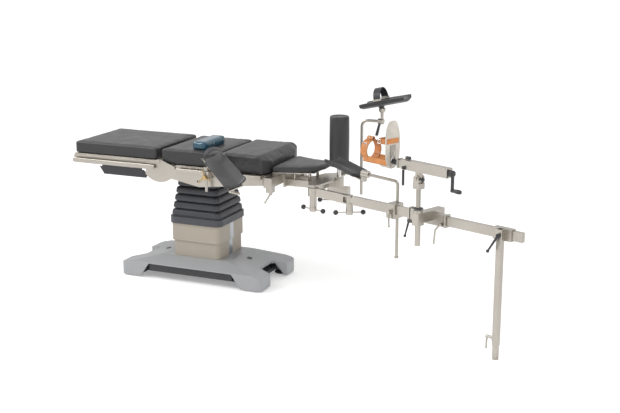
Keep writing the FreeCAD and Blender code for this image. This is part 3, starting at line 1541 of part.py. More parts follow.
nodes = {
    "base_cover": base_cover,
    "base_chassis": base_chassis,
    "foot_pads": foot_pads,
    "base_panels": base_panels,
    "column_lower_cover": column_lower_cover,
    "mast_outer": mast_outer,
    "column_middle_cover": column_middle_cover,
    "mast_inner": mast_inner,
    "column_upper_cover": column_upper_cover,
    "bellows_collar": bellows_collar,
    "bellows": bellows,
    "tilt_saddle": tilt_saddle,
    "main_frame": main_frame,
    "side_covers": side_covers,
    "side_rails": side_rails,
    "lower_back_mattress": lower_back_mattress,
    "seat_mattress": seat_mattress,
    "head_cushion": head_cushion,
    "extension_beam": extension_beam,
    "extension_frame": extension_frame,
    "pelvic_pad": pelvic_pad,
    "perineal_post": perineal_post,
    "beam_lever": beam_lever,
    "back_frame": back_frame,
    "back_rails": back_rails,
    "back_side_plates": back_side_plates,
    "back_mattress": back_mattress,
    "arm_clamp": arm_clamp,
    "arm_clamp_knob": arm_clamp_knob,
    "arm_board": arm_board,
    "arm_pad": arm_pad,
    "arm_release_lever": arm_release_lever,
    "inner_arm_left": inner_arm_left,
    "inner_arm_handle": inner_arm_handle,
    "outer_bar_left": outer_bar_left,
    "outer_arm_handle": outer_arm_handle,
    "inner_arm_right": inner_arm_right,
    "right_arm_handle": right_arm_handle,
    "crutch_tube": crutch_tube,
    "crutch_joint": crutch_joint,
    "crutch_pad": crutch_pad,
    "rod_clamp": rod_clamp,
    "leg_rest_rod": leg_rest_rod,
    "leg_rest_joint": leg_rest_joint,
    "leg_rest_pad": leg_rest_pad,
    "traction_carriage": traction_carriage,
    "carriage_lever": carriage_lever,
    "post_clamp_lever": post_clamp_lever,
    "traction_post": traction_post,
    "tilt_head": tilt_head,
    "traction_housing": traction_housing,
    "traction_slide": traction_slide,
    "crank": crank,
    "boot_plate": boot_plate,
    "boot_straps": boot_straps,
    "support_bracket": support_bracket,
    "support_leg": support_leg,
    "support_leg_lever": support_leg_lever,
    "support_foot": support_foot,
    "foot_lever": foot_lever,
}


def main():
    os.makedirs("parts", exist_ok=True)
    shapes = {name: make() for name, make in nodes.items()}
    box = Part.makeCompound(list(shapes.values())).BoundBox
    shift = vec(-(box.XMin + box.XMax) / 2, -(box.YMin + box.YMax) / 2, -box.ZMin)
    print("shift", round(shift.x, 4), round(shift.y, 4), round(shift.z, 4))
    for name, shape in shapes.items():
        moved = shape.translated(shift)
        moved.exportStep("parts/" + name + ".step")


main()
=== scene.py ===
"""Dresses an operating table with its traction extension: pads, bellows, straps, fittings and finishes."""

import math

import bmesh
import bpy
from bpy.props import FloatProperty, FloatVectorProperty, IntProperty, PointerProperty
from mathutils import Matrix, Vector


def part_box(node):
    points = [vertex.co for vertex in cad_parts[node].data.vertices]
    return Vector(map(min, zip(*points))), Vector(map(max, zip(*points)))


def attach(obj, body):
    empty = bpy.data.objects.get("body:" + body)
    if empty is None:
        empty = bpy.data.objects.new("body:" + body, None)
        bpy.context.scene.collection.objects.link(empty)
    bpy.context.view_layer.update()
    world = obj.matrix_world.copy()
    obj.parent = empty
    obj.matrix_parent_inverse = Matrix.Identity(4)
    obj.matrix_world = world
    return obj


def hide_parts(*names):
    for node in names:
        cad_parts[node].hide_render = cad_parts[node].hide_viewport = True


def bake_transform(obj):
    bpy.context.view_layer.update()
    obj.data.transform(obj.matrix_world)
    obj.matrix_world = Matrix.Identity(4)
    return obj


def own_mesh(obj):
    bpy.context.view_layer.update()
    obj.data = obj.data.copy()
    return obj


bl_info = {
    "name": "Operating Table Dressing",
    "version": (1, 0, 0),
    "blender": (4, 5, 0),
    "location": "View3D > Sidebar > Operating Table",
    "description": "Pads, bellows, straps, fittings and finishes of an operating table",
    "category": "Object",
}

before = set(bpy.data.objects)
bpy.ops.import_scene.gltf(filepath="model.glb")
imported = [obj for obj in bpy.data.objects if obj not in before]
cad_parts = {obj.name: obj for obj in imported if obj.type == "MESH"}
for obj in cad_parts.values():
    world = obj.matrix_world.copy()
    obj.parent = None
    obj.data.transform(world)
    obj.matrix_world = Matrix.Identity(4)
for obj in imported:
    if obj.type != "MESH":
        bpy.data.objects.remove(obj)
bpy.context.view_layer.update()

# The table's own axes: column centre at X and Y zero, floor at Z zero, millimetres.
mast_low, mast_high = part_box("mast_outer")
TABLE_ORIGIN = Vector(((mast_low[0] + mast_high[0]) / 2, (mast_low[1] + mast_high[1]) / 2, 0.0))
MM = 0.001


def at(x, y, z):
    """A point in the table's millimetres as a point of the scene in metres."""
    return TABLE_ORIGIN + Vector((x, y, z)) * MM


def turn(angle, axis):
    return Matrix.Rotation(math.radians(angle), 4, axis)


def step(x, y, z):
    return Matrix.Translation(Vector((x, y, z)) * MM)


def spot(place, x, y, z):
    """A point in the millimetres of a turned frame as a point of the scene."""
    return place @ (Vector((x, y, z)) * MM)


# Sizes in millimetres. Screw unit: how far the sole, the ram's plate and both ends of the square tube
# lie from the post, the length of the lock collar and the crank's arm.
BOOT_REACH = 197.0
NOSE_REACH = 143.0
UNIT_FRONT = 210.0
UNIT_BACK = 60.0
LOCK_LENGTH = 54.0
CRANK_ARM = 88.0
# Carriage: where its sleeve stands on the bar, and the half width, low, high and thickness of a rim on it.
SLEEVE_MIDDLE = 860.0
SLEEVE_RIM = (18.6, 638.9, 701.1, 1.5)
RIM_PLACES = (-115.8, 112.3)
RIM_WIDTH = 3.5
# Boot harness: height of the gaiter's middle over the turning pin, its radius and ends, the edges of the
# side and forefoot straps, the forefoot strap's half width and back, and the buckle's place on its side.
GAITER_RISE = 42.0
GAITER_RADIUS = 56.5
GAITER_ENDS = (-184.0, -136.0)
SIDE_STRAP = (-19.5, 13.5)
FOREFOOT_STRAP = (97.5, 124.5)
FOREFOOT_HALF = 60.0
FOREFOOT_BACK = 6.0
HALF_BUCKLE = 63.5
# Clamp nuts: half length of the cross rod, height of the nut and radius of the balls.
HANDLE_HALF = 79.0
NUT_HEIGHT = 26.0
BALL_RADIUS = 15.0
# Perineal post: radius of the sleeve, and its low and high ends.
PERINEAL = (59.0, 786.0, 1092.0)

# Places on the table: the traction post, the near bar's pivot and the perineal post.
POST = (1622.0, -654.0)
BAR_PIVOT = (840.0, -241.0)
PERINEAL_SPOT = (915.0, -20.0)
UNIT_ANGLE = -24.5
BAR_ANGLE = -20.5
BOARD_ANGLE = -43.5

# Frames of the turned pieces: the screw unit, the boot's sole, the arm board, the crutch's gutter
# and the traction bar.
UNIT = Matrix.Translation(at(*POST, 965.0)) @ turn(UNIT_ANGLE, "Z")
BOOT = UNIT @ step(-BOOT_REACH, 0.0, 0.0)
BOARD = (Matrix.Translation(at(363.0, -462.0, 795.0)) @ turn(BOARD_ANGLE, "Z") @ turn(10.8, "Y")
         @ turn(18.0, "X"))
CRUTCH = Matrix.Translation(at(1135.4, 111.7, 1122.0)) @ turn(-13.0, "Y") @ step(30.0, 0.0, 44.0)
BAR = Matrix.Translation(at(*BAR_PIVOT, 0.0)) @ turn(BAR_ANGLE, "Z")
# Lays a shape's own X, Y and Z along a frame's Y, Z and X.
SIDEWAYS = Matrix(((0, 0, 1, 0), (1, 0, 0, 0), (0, 1, 0, 0), (0, 0, 0, 1)))


# Settings

def colour_property(label, text, default):
    return FloatVectorProperty(name=label, description=text, subtype="COLOR", size=3, min=0.0, max=1.0,
                               default=default)


def length_property(label, text, default):
    return FloatProperty(name=label, description=text, default=default, min=0.0, unit="LENGTH", precision=4)


class FinishSettings(bpy.types.PropertyGroup):
    base_paint: colour_property("Base paint", "Silver-grey paint of the base cover", (0.30, 0.305, 0.315))
    column_paint: colour_property("Column paint", "Champagne paint of the column covers", (0.345, 0.305, 0.25))
    stainless: colour_property("Stainless", "Warm light grey of the stainless parts", (0.45, 0.42, 0.375))
    plated: colour_property("Plated steel", "Ground and plated rods and tubes", (0.72, 0.71, 0.69))
    upholstery: colour_property("Upholstery", "Charcoal cover of the pads", (0.023, 0.0225, 0.0235))
    moulding: colour_property("Dark moulding", "Black plastic parts", (0.022, 0.022, 0.025))
    bellows: colour_property("Bellows", "Rubberised cloth of the bellows", (0.034, 0.035, 0.041))
    gel: colour_property("Gel", "Blue gel of the head cushion", (0.003, 0.048, 0.082))
    boot: colour_property("Boot", "Light grey sole of the traction boot", (0.47, 0.44, 0.39))
    strap: colour_property("Strap leather", "Tan leather of the boot harness", (0.58, 0.22, 0.06))
    brass: colour_property("Brass", "Clamp screw of the arm board", (0.50, 0.36, 0.18))


class PadSettings(bpy.types.PropertyGroup):
    voxel: length_property("Skin cell", "Cell size of a table pad's skin before it is blown up", 0.0065)
    thin_voxel: length_property("Thin skin cell", "Cell size of a thin pad's skin", 0.004)
    pressure: FloatProperty(name="Pressure", description="Air pressure inside a pad", default=4.0, min=0.0)
    swell: length_property("Swell", "Furthest that a table pad's skin moves out", 0.0065)
    thin_swell: length_property("Thin swell", "Furthest that a thin pad's skin moves out", 0.003)
    inset: length_property("Inset", "How much smaller a table pad starts", 0.004)
    frames: IntProperty(name="Frames", description="Steps of the cloth run", default=20, min=1)


class BellowsSettings(bpy.types.PropertyGroup):
    folds: IntProperty(name="Folds", description="Number of bellows folds", default=5, min=1)
    depth: length_property("Fold depth", "Depth of a fold", 0.017)
    low_half: length_property("Lower half width", "Half width of the lowest crest", 0.176)
    top_half: length_property("Upper half width", "Half width of the highest crest", 0.139)


class StageSettings(bpy.types.PropertyGroup):
    azimuth: FloatProperty(name="Azimuth", description="Camera turn to the table's foot side",
                           subtype="ANGLE", default=math.radians(23.48))
    elevation: FloatProperty(name="Elevation", description="Camera height angle", subtype="ANGLE",
                             default=math.radians(13.98))
    lens: FloatProperty(name="Lens", description="Focal length in millimetres", default=66.48, min=1.0)
    key: FloatProperty(name="Key light", description="Power of the large soft light", default=110.0, min=0.0,
                       unit="POWER")
    fill: FloatProperty(name="Fill light", description="Power of the fill light", default=35.0, min=0.0,
                        unit="POWER")


# Materials

class Recipe:
    """Builds one node material around a Principled shader."""

    def __init__(self, name, colour, roughness, metallic=0.0, **sockets):
        self.material = bpy.data.materials.new(name)
        self.material.use_nodes = True
        self.tree = self.material.node_tree
        self.shader = self.tree.nodes["Principled BSDF"]
        self.colour = tuple(colour) + (1.0,)
        self.shader.inputs["Base Color"].default_value = self.colour
        self.shader.inputs["Roughness"].default_value = roughness
        self.shader.inputs["Metallic"].default_value = metallic
        for label, value in sockets.items():
            self.shader.inputs[label.replace("_", " ")].default_value = value
        self.material.diffuse_color = self.colour
        self.place = self.add("ShaderNodeTexCoord").outputs["Object"]

    def add(self, kind, **settings):
        node = self.tree.nodes.new(kind)
        for label, value in settings.items():
            setattr(node, label, value)
        return node

    def join(self, source, target):
        self.tree.links.new(source, target)

    def stretched(self, scale, turn=(0.0, 0.0, 0.0)):
        node = self.add("ShaderNodeMapping")
        node.inputs["Scale"].default_value = scale
        node.inputs["Rotation"].default_value = [math.radians(t) for t in turn]
        self.join(self.place, node.inputs["Vector"])
        return node.outputs["Vector"]

    def noise(self, scale, detail=2.0, roughness=0.5, vector=None):
        node = self.add("ShaderNodeTexNoise")
        node.inputs["Scale"].default_value = scale
        node.inputs["Detail"].default_value = detail
        node.inputs["Roughness"].default_value = roughness
        self.join(vector or self.place, node.inputs["Vector"])
        return node.outputs["Fac"]

    def cells(self, scale):
        node = self.add("ShaderNodeTexVoronoi")
        node.inputs["Scale"].default_value = scale
        self.join(self.place, node.inputs["Vector"])
        return node.outputs["Distance"]

    def span(self, source, low, high, to_low=0.0, to_high=1.0):
        node = self.add("ShaderNodeMapRange")
        for label, value in (("From Min", low), ("From Max", high), ("To Min", to_low), ("To Max", to_high)):
            node.inputs[label].default_value = value
        self.join(source, node.inputs["Value"])
        return node.outputs["Result"]

    def sum(self, kind, a, b):
        node = self.add("ShaderNodeMath", operation=kind)
        for socket, value in zip(node.inputs, (a, b)):
            if isinstance(value, (int, float)):
                socket.default_value = value
            else:
                self.join(value, socket)
        return node.outputs["Value"]

    def tint(self, share, colour):
        """Mixes a colour over what the base colour is so far, by share."""
        node = self.add("ShaderNodeMix", data_type="RGBA")
        target = self.shader.inputs["Base Color"]
        if target.is_linked:
            self.join(target.links[0].from_socket, node.inputs["A"])
        else:
            node.inputs["A"].default_value = target.default_value
        node.inputs["B"].default_value = tuple(colour) + (1.0,)
        self.join(share, node.inputs["Factor"])
        self.join(node.outputs["Result"], target)

    def patch(self, source, low, high, share, factor):
        """Shades the colour by a factor, up to a share, as a pattern goes from low to high."""
        self.tint(self.span(source, low, high, 0.0, share), shade(self.colour[:3], factor))

    def edge_highlight_and_wear(self, near_edge, share, factor):
        """Shades the colour by a factor near the edges: a painted edge highlight where it lightens them, worn
        darker edges where it darkens them.
        """
        self.tint(self.sum("MULTIPLY", near_edge, share), shade(self.colour[:3], factor))

    def rough(self, source):
        self.join(source, self.shader.inputs["Roughness"])

    def relief(self, height, depth, strength=1.0):
        """Adds a bump of that depth in metres on top of the normal so far."""
        node = self.add("ShaderNodeBump")
        node.inputs["Distance"].default_value = depth
        node.inputs["Strength"].default_value = strength
        self.join(height, node.inputs["Height"])
        target = self.shader.inputs["Normal"]
        if target.is_linked:
            self.join(target.links[0].from_socket, node.inputs["Normal"])
        self.join(node.outputs["Normal"], target)

    def soft_edges(self, radius):
        """Rounds the shading of sharp edges and gives how near an edge a point is."""
        node = self.add("ShaderNodeBevel", samples=4)
        node.inputs["Radius"].default_value = radius
        self.join(node.outputs["Normal"], self.shader.inputs["Normal"])
        flat = self.add("ShaderNodeNewGeometry").outputs["Normal"]
        dot = self.add("ShaderNodeVectorMath", operation="DOT_PRODUCT")
        self.join(node.outputs["Normal"], dot.inputs[0])
        self.join(flat, dot.inputs[1])
        return self.span(dot.outputs["Value"], 1.0, 0.8)

    def height(self, low, high):
        """A share that runs from 0 at height low to 1 at height high, in metres."""
        node = self.add("ShaderNodeSeparateXYZ")
        self.join(self.place, node.inputs["Vector"])
        return self.span(node.outputs["Z"], low, high)


def shade(colour, factor):
    return tuple(min(1.0, c * factor) for c in colour)


def painted(name, colour, roughness, edge, coat=0.0):
    recipe = Recipe(name, colour, roughness, Coat_Weight=coat, Coat_Roughness=0.25)
    near_edge = recipe.soft_edges(edge)
    recipe.patch(recipe.noise(3.0, 4.0), 0.35, 0.75, 0.35, 0.86)
    recipe.patch(recipe.noise(240.0), 0.55, 0.75, 0.22, 1.3)
    scuffs = recipe.noise(60.0, 6.0, 0.7, recipe.stretched((0.35, 1.0, 1.0)))
    recipe.tint(recipe.sum("MULTIPLY", recipe.span(scuffs, 0.66, 0.74), recipe.height(0.14, 0.0)),
                shade(colour, 0.55))
    # Lighter edges, patchy by noise: partly worn paint, partly a painted edge highlight.
    edge_highlight_and_wear = recipe.sum("MULTIPLY", near_edge, recipe.span(recipe.noise(45.0, 3.0), 0.45, 0.62, 0.15, 0.6))
    recipe.tint(edge_highlight_and_wear, shade(colour, 1.35))
    recipe.rough(recipe.span(recipe.noise(9.0, 5.0, 0.6), 0.3, 0.7, roughness - 0.05, roughness + 0.09))
    recipe.relief(recipe.noise(900.0, 1.0), 0.00012, 0.35)
    return recipe.material


def brushed(name, colour, heading=0.0, upright=False, roughness=0.34):
    """Brushed stainless, its grain along a heading in plan or upright."""
    recipe = Recipe(name, colour, roughness, 1.0)
    near_edge = recipe.soft_edges(0.0012)
    scale = (520.0, 520.0, 6.0) if upright else (6.0, 520.0, 520.0)
    grain = recipe.noise(1.0, 3.0, 0.6, recipe.stretched(scale, (0.0, 0.0, -heading)))
    cloud = recipe.noise(5.0, 4.0, 0.6)
    recipe.patch(cloud, 0.35, 0.7, 0.4, 0.84)
    recipe.patch(grain, 0.4, 0.7, 0.3, 1.12)
    # Painted highlight along the edges.
    recipe.edge_highlight_and_wear(near_edge, 0.5, 1.25)
    recipe.rough(recipe.sum("ADD", recipe.span(grain, 0.3, 0.7, roughness - 0.07, roughness + 0.07),
                            recipe.span(cloud, 0.3, 0.7, -0.03, 0.05)))
    recipe.relief(grain, 0.00006, 0.5)
    return recipe.material


def plated(name, colour):
    recipe = Recipe(name, colour, 0.16, 1.0)
    # Painted highlight along the edges.
    recipe.edge_highlight_and_wear(recipe.soft_edges(0.0008), 0.4, 1.2)
    recipe.rough(recipe.span(recipe.noise(18.0, 5.0, 0.65), 0.35, 0.7, 0.1, 0.26))
    recipe.relief(recipe.noise(1.0, 2.0, 0.5, recipe.stretched((500.0, 500.0, 40.0))), 0.00003, 0.4)
    return recipe.material


def moulded(name, colour, roughness, edge=0.0012, grain=520.0):
    recipe = Recipe(name, colour, roughness)
    near_edge = recipe.soft_edges(edge)
    recipe.patch(recipe.noise(14.0, 4.0), 0.4, 0.7, 0.5, 1.45)
    # Painted highlight along the edges.
    recipe.edge_highlight_and_wear(near_edge, 0.5, 2.2)
    recipe.rough(recipe.span(recipe.noise(22.0, 4.0, 0.6), 0.3, 0.7, roughness - 0.06, roughness + 0.08))
    recipe.relief(recipe.cells(grain), 0.00015, 0.4)
    return recipe.material


def coated_cover(name, colour):
    """Charcoal coated cover of the pads: a fine leather grain, rub marks and a faint sheen."""
    recipe = Recipe(name, colour, 0.42, Sheen_Weight=0.08, Sheen_Roughness=0.4)
    recipe.patch(recipe.noise(4.0, 5.0, 0.6), 0.3, 0.8, 0.5, 1.2)
    pores = recipe.cells(520.0)
    recipe.tint(recipe.span(pores, 0.0, 0.35, 0.45, 0.0), shade(colour, 0.55))
    recipe.rough(recipe.span(recipe.noise(12.0, 5.0, 0.65), 0.3, 0.7, 0.36, 0.5))
    recipe.relief(recipe.noise(7.0, 2.0, 0.4), 0.0012, 0.12)
    recipe.relief(pores, 0.00035, 0.45)
    return recipe.material


def bellows_cloth(name, colour):
    recipe = Recipe(name, colour, 0.46)
    recipe.patch(recipe.noise(7.0, 4.0), 0.35, 0.7, 0.6, 1.5)
    weave = recipe.add("ShaderNodeTexWave", wave_type="BANDS", bands_direction="DIAGONAL")
    weave.inputs["Scale"].default_value = 330.0
    weave.inputs["Distortion"].default_value = 0.6
    recipe.join(recipe.place, weave.inputs["Vector"])
    recipe.rough(recipe.span(recipe.noise(16.0, 4.0), 0.3, 0.7, 0.36, 0.54))
    recipe.relief(recipe.noise(11.0, 3.0), 0.0015, 0.4)
    recipe.relief(weave.outputs["Fac"], 0.0002, 0.3)
    return recipe.material


def gel_skin(name, colour):
    recipe = Recipe(name, colour, 0.2, Coat_Weight=0.5, Coat_Roughness=0.08, Subsurface_Weight=0.3,
                    Subsurface_Scale=0.02)
    recipe.patch(recipe.noise(26.0, 4.0, 0.6), 0.4, 0.72, 0.7, 2.1)
    recipe.rough(recipe.span(recipe.noise(30.0, 3.0), 0.3, 0.7, 0.14, 0.3))
    recipe.relief(recipe.noise(35.0, 4.0, 0.6), 0.0012, 0.35)
    return recipe.material


def leather(name, colour):
    recipe = Recipe(name, colour, 0.5, Sheen_Weight=0.05)
    near_edge = recipe.soft_edges(0.0015)
    recipe.patch(recipe.noise(30.0, 5.0, 0.65), 0.35, 0.7, 0.75, 0.62)
    pores = recipe.cells(700.0)
    recipe.tint(recipe.span(pores, 0.0, 0.3, 0.4, 0.0), shade(colour, 0.5))
    recipe.edge_highlight_and_wear(near_edge, 0.75, 0.4)
    recipe.rough(recipe.span(recipe.noise(50.0, 4.0), 0.3, 0.7, 0.42, 0.6))
    recipe.relief(pores, 0.0003, 0.5)
    return recipe.material


def floor_surface(name):
    """Pale studio floor that glows a little, so that it stays near white far from the lamps."""
    recipe = Recipe(name, (0.86, 0.86, 0.86), 0.6, Emission_Color=(1.0, 1.0, 1.0, 1.0),
                    Emission_Strength=0.27)
    recipe.rough(recipe.span(recipe.noise(2.0, 3.0), 0.3, 0.7, 0.55, 0.65))
    return recipe.material


NODE_FINISHES = {
    "steel_along": ("main_frame", "side_covers", "side_rails", "extension_frame", "back_frame", "back_rails"),
    "steel_across": ("extension_beam", "arm_clamp"),
    "steel_arm": ("inner_arm_left", "outer_bar_left", "rod_clamp", "traction_carriage", "support_bracket"),
    "steel_unit": ("traction_housing", "traction_slide", "leg_rest_joint"),
    "steel_board": ("arm_board",),
    "steel_short_arm": ("inner_arm_right",),
    "steel_upright": ("support_leg", "support_foot", "tilt_head", "crutch_joint", "beam_lever",
                      "carriage_lever", "foot_lever", "arm_release_lever"),
    "base_paint": ("base_cover",),
    "column_paint": ("column_lower_cover", "column_middle_cover", "column_upper_cover"),
    "structural": ("base_chassis", "mast_outer"),
    "plated": ("mast_inner", "tilt_saddle"),
    "steel_rod": ("crutch_tube", "leg_rest_rod", "traction_post"),
    "foot_rubber": ("foot_pads",),
    "collar": ("bellows_collar",),
    "moulding": ("base_panels", "back_side_plates", "support_leg_lever", "post_clamp_lever"),
    "brass": ("arm_clamp_knob",),
}


# The material name of each finish by its short name, noted when the finishes are made.
FINISH_NAMES = {}


def build_materials(s):
    """Makes every finish once and gives them by their short names."""
    steel = tuple(s.stainless)
    made = {
        "steel_along": brushed("Brushed steel along", steel),
        "steel_across": brushed("Brushed steel across", steel, 90.0),
        "steel_arm": brushed("Brushed steel arm", steel, BAR_ANGLE),
        "steel_unit": brushed("Brushed steel unit", steel, UNIT_ANGLE),
        "steel_board": brushed("Brushed steel board", steel, BOARD_ANGLE),
        "steel_short_arm": brushed("Brushed steel short arm", steel),
        "steel_upright": brushed("Brushed steel upright", steel, upright=True),
        "steel_rod": brushed("Brushed steel rod", shade(steel, 0.85), upright=True, roughness=0.28),
        "plated": plated("Plated steel", s.plated),
        "base_paint": painted("Base paint", s.base_paint, 0.36, 0.003, 0.15),
        "column_paint": painted("Column paint", s.column_paint, 0.48, 0.002),
        "structural": painted("Structural coat", (0.06, 0.065, 0.07), 0.5, 0.002),
        "foot_rubber": moulded("Foot rubber", (0.02, 0.02, 0.02), 0.7),
        "collar": moulded("Collar moulding", shade(s.bellows, 1.3), 0.45, 0.003, 420.0),
        "moulding": moulded("Dark moulding", s.moulding, 0.38),
        "boot": moulded("Boot moulding", s.boot, 0.5, 0.0015, 640.0),
        "brass": brushed("Brass", s.brass, roughness=0.3),
        "trim": brushed("Trim metal", (0.40, 0.42, 0.44), upright=True, roughness=0.3),
        "upholstery": coated_cover("Pad cover", s.upholstery),
        "bellows": bellows_cloth("Bellows cloth", s.bellows),
        "gel": gel_skin("Blue gel", s.gel),
        "leather": leather("Harness leather", s.strap),
    }
    FINISH_NAMES.update((short, material.name) for short, material in made.items())
    return made


# Mesh helpers

def grown(bm, name, finish, smooth=35.0):
    """Turns a bmesh into a linked object with outward normals and sharp edges marked."""
    bmesh.ops.recalc_face_normals(bm, faces=bm.faces)
    limit = math.radians(smooth)
    for face in bm.faces:
        face.smooth = True
    for edge in bm.edges:
        if len(edge.link_faces) == 2 and edge.calc_face_angle(0.0) > limit:
            edge.smooth = False
    mesh = bpy.data.meshes.new(name)
    bm.to_mesh(mesh)
    bm.free()
    obj = bpy.data.objects.new(name, mesh)
    bpy.context.scene.collection.objects.link(obj)
    mesh.materials.append(bpy.data.materials[FINISH_NAMES[finish]])
    return obj


def settle(obj, body, slot, *nodes):
    """Lets a piece ride on its body and stand for CAD nodes; its slot is not used."""
    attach(obj, body)
    if nodes:
        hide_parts(*nodes)
    return obj


def baked(obj):
    """Applies every modifier of a piece to its mesh."""
    bpy.context.view_layer.update()
    source = obj.evaluated_get(bpy.context.evaluated_depsgraph_get())
    mesh = bpy.data.meshes.new_from_object(source)
    old = obj.data
    obj.modifiers.clear()
    obj.data = mesh
    bpy.data.meshes.remove(old)
    for polygon in mesh.polygons:
        polygon.use_smooth = True
    return obj


def along(start, end):
    """The matrix that lays a shape's Z axis from start to end, centred between them."""
    way = end - start
    return Matrix.Translation((start + end) / 2) @ way.to_track_quat("Z", "Y").to_matrix().to_4x4()


def round_edges(bm, edges, radius, segments=3):
    bmesh.ops.bevel(bm, geom=edges, offset=radius, segments=segments, profile=0.5, affect="EDGES", material=-1)


def add_rod(bm, start, end, radius, tip=None, round_end=0.0):
    """A round bar from start to end, its rims rounded."""
    tip = radius if tip is None else tip
    made = bmesh.ops.create_cone(bm, cap_ends=True, cap_tris=False, segments=24, radius1=radius,
                                 radius2=tip, depth=(end - start).length, matrix=along(start, end))
    if round_end:
        rims = [e for e in {e for v in made["verts"] for e in v.link_edges}
                if any(len(f.verts) > 4 for f in e.link_faces)]
        round_edges(bm, rims, round_end)


def add_ball(bm, centre, radius):
    bmesh.ops.create_uvsphere(bm, u_segments=24, v_segments=16, radius=radius,
                              matrix=Matrix.Translation(centre))


def add_block(bm, low, high, edge, matrix=Matrix.Identity(4)):
    """A block between two corners, its edges rounded, then placed by a matrix."""
    size = high - low
    place = matrix @ Matrix.Translation((low + high) / 2) @ Matrix.Diagonal((size.x, size.y, size.z, 1.0))
    made = bmesh.ops.create_cube(bm, size=1.0, matrix=place)
    round_edges(bm, list({e for v in made["verts"] for e in v.link_edges}), edge)


def put(part, bm, matrix):
    """Moves a part by a matrix into a larger mesh."""
    bmesh.ops.transform(part, matrix=matrix, verts=part.verts)
    mesh = bpy.data.meshes.new("part")
    part.to_mesh(mesh)
    part.free()
    bm.from_mesh(mesh)
    bpy.data.meshes.remove(mesh)


def add_lathe(bm, profile, matrix, steps=48):
    """Spins a profile of radius and height pairs in millimetres about the Z axis and places it."""
    part = bmesh.new()
    verts = [part.verts.new((r * MM, 0.0, z * MM)) for r, z in profile]
    edges = [part.edges.new(pair) for pair in zip(verts, verts[1:])]
    bmesh.ops.spin(part, geom=verts + edges, cent=(0, 0, 0), axis=(0, 0, 1), angle=math.tau, steps=steps,
                   use_merge=True)
    bmesh.ops.remove_doubles(part, verts=part.verts, dist=0.00002)
    put(part, bm, matrix)


def rounded_path(corners, radius, steps=6, closed=True):
    """Points along an outline in millimetres whose corners are rounded."""
    points = []
    count = len(corners)
    for k, corner in enumerate(corners):
        here = Vector(corner)
        before = Vector(corners[k - 1]) - here
        after = Vector(corners[(k + 1) % count]) - here
        if not closed and k in (0, count - 1):
            points.append(here)
            continue
        reach = min(radius, before.length * 0.48, after.length * 0.48)
        a = here + before.normalized() * reach
        b = here + after.normalized() * reach
        for i in range(steps + 1):
            t = i / steps
            points.append(a * (1 - t) ** 2 + here * 2 * t * (1 - t) + b * t ** 2)
    return points + points[:1] if closed else points


def arc(radius, first, last, steps=32, centre=(0.0, 0.0)):
    """Points along a circle in millimetres from one angle to another."""
    points = []
    for k in range(steps + 1):
        a = math.radians(first + (last - first) * k / steps)
        points.append(Vector((centre[0] + radius * math.cos(a), centre[1] + radius * math.sin(a))))
    return points


def add_strap(bm, points, low, high, thickness, matrix):
    """A flat strap through points in its X and Y plane, from low to high along Z, in millimetres."""
    part = bmesh.new()
    count = len(points) - 1
    bmesh.ops.create_grid(part, x_segments=count, y_segments=1, size=0.5)
    for vert in part.verts:
        point = points[round((vert.co.x + 0.5) * count)]
        vert.co = Vector((point[0], point[1], high if vert.co.y > 0 else low)) * MM
    bmesh.ops.remove_doubles(part, verts=part.verts, dist=0.00002)
    bmesh.ops.recalc_face_normals(part, faces=part.faces)
    bmesh.ops.solidify(part, geom=list(part.faces), thickness=thickness * MM)
    put(part, bm, matrix)


def keep_longest(bm):
    """Keeps only the longest connected part of a mesh."""
    left = set(bm.verts)
    parts = []
    while left:
        grow = [left.pop()]
        part = set(grow)
        while grow:
            for edge in grow.pop().link_edges:
                for vert in edge.verts:
                    if vert in left:
                        left.discard(vert)
                        part.add(vert)
                        grow.append(vert)
        parts.append(part)
    parts.sort(key=lambda part: max(v.co.x for v in part) - min(v.co.x for v in part))
    for part in parts[:-1]:
        bmesh.ops.delete(bm, geom=list(part), context="VERTS")


def skin_of(node, inset):
    """Merges a CAD solid's triangles into one skin and draws it in a little."""
    bm = bmesh.new()
    bm.from_mesh(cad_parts[node].data)
    bmesh.ops.remove_doubles(bm, verts=bm.verts, dist=0.00002)
    bm.normal_update()
    for vert, normal in [(v, v.normal.copy()) for v in bm.verts]:
        vert.co -= normal * inset
    return bm


def finer(obj):
    smoothing = obj.modifiers.new("Finer skin", "SUBSURF")
    smoothing.levels = smoothing.render_levels = 1


def swollen(obj, voxel, swell, lowest, settings):
    """Blows a pad's skin up in a short cloth run, eased towards the furthest it may move."""
    cells = obj.modifiers.new("Skin cells", "REMESH")
    cells.mode = "VOXEL"
    cells.voxel_size = voxel
    baked(obj)
    scene = bpy.context.scene
    rest = [v.co.copy() for v in obj.data.vertices]
    cloth = obj.modifiers.new("Cloth", "CLOTH")
    cloth.settings.use_pressure = True
    cloth.settings.uniform_pressure_force = settings.pressure
    cloth.settings.effector_weights.gravity = 0.0
    cloth.point_cache.frame_start = 1
    cloth.point_cache.frame_end = settings.frames
    for step in range(1, settings.frames + 1):
        scene.frame_set(step)
    bpy.context.view_layer.update()
    blown = obj.evaluated_get(bpy.context.evaluated_depsgraph_get()).data
    moved = [v.co.copy() for v in blown.vertices]
    obj.modifiers.remove(cloth)
    scene.frame_set(1)
    for vert, old, new in zip(obj.data.vertices, rest, moved):
        shift = new - old
        if shift.length > 1e-7:
            shift = shift.normalized() * swell * (1.0 - math.exp(-shift.length / swell))
        vert.co = old + shift
    for vert in obj.data.vertices:
        vert.co.z = max(vert.co.z, lowest)
    finer(obj)
    return baked(obj)


# Operators

class TABLE_OT_finishes(bpy.types.Operator):
    """Make the finishes and give them to the metal and moulded parts"""
    bl_idname = "table.finishes"
    bl_label = "Finishes"

    def execute(self, context):
        made = build_materials(context.scene.table_finishes)
        for finish, names in NODE_FINISHES.items():
            for name in names:
                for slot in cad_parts[name].material_slots:
                    slot.material = made[finish]
        return {"FINISHED"}


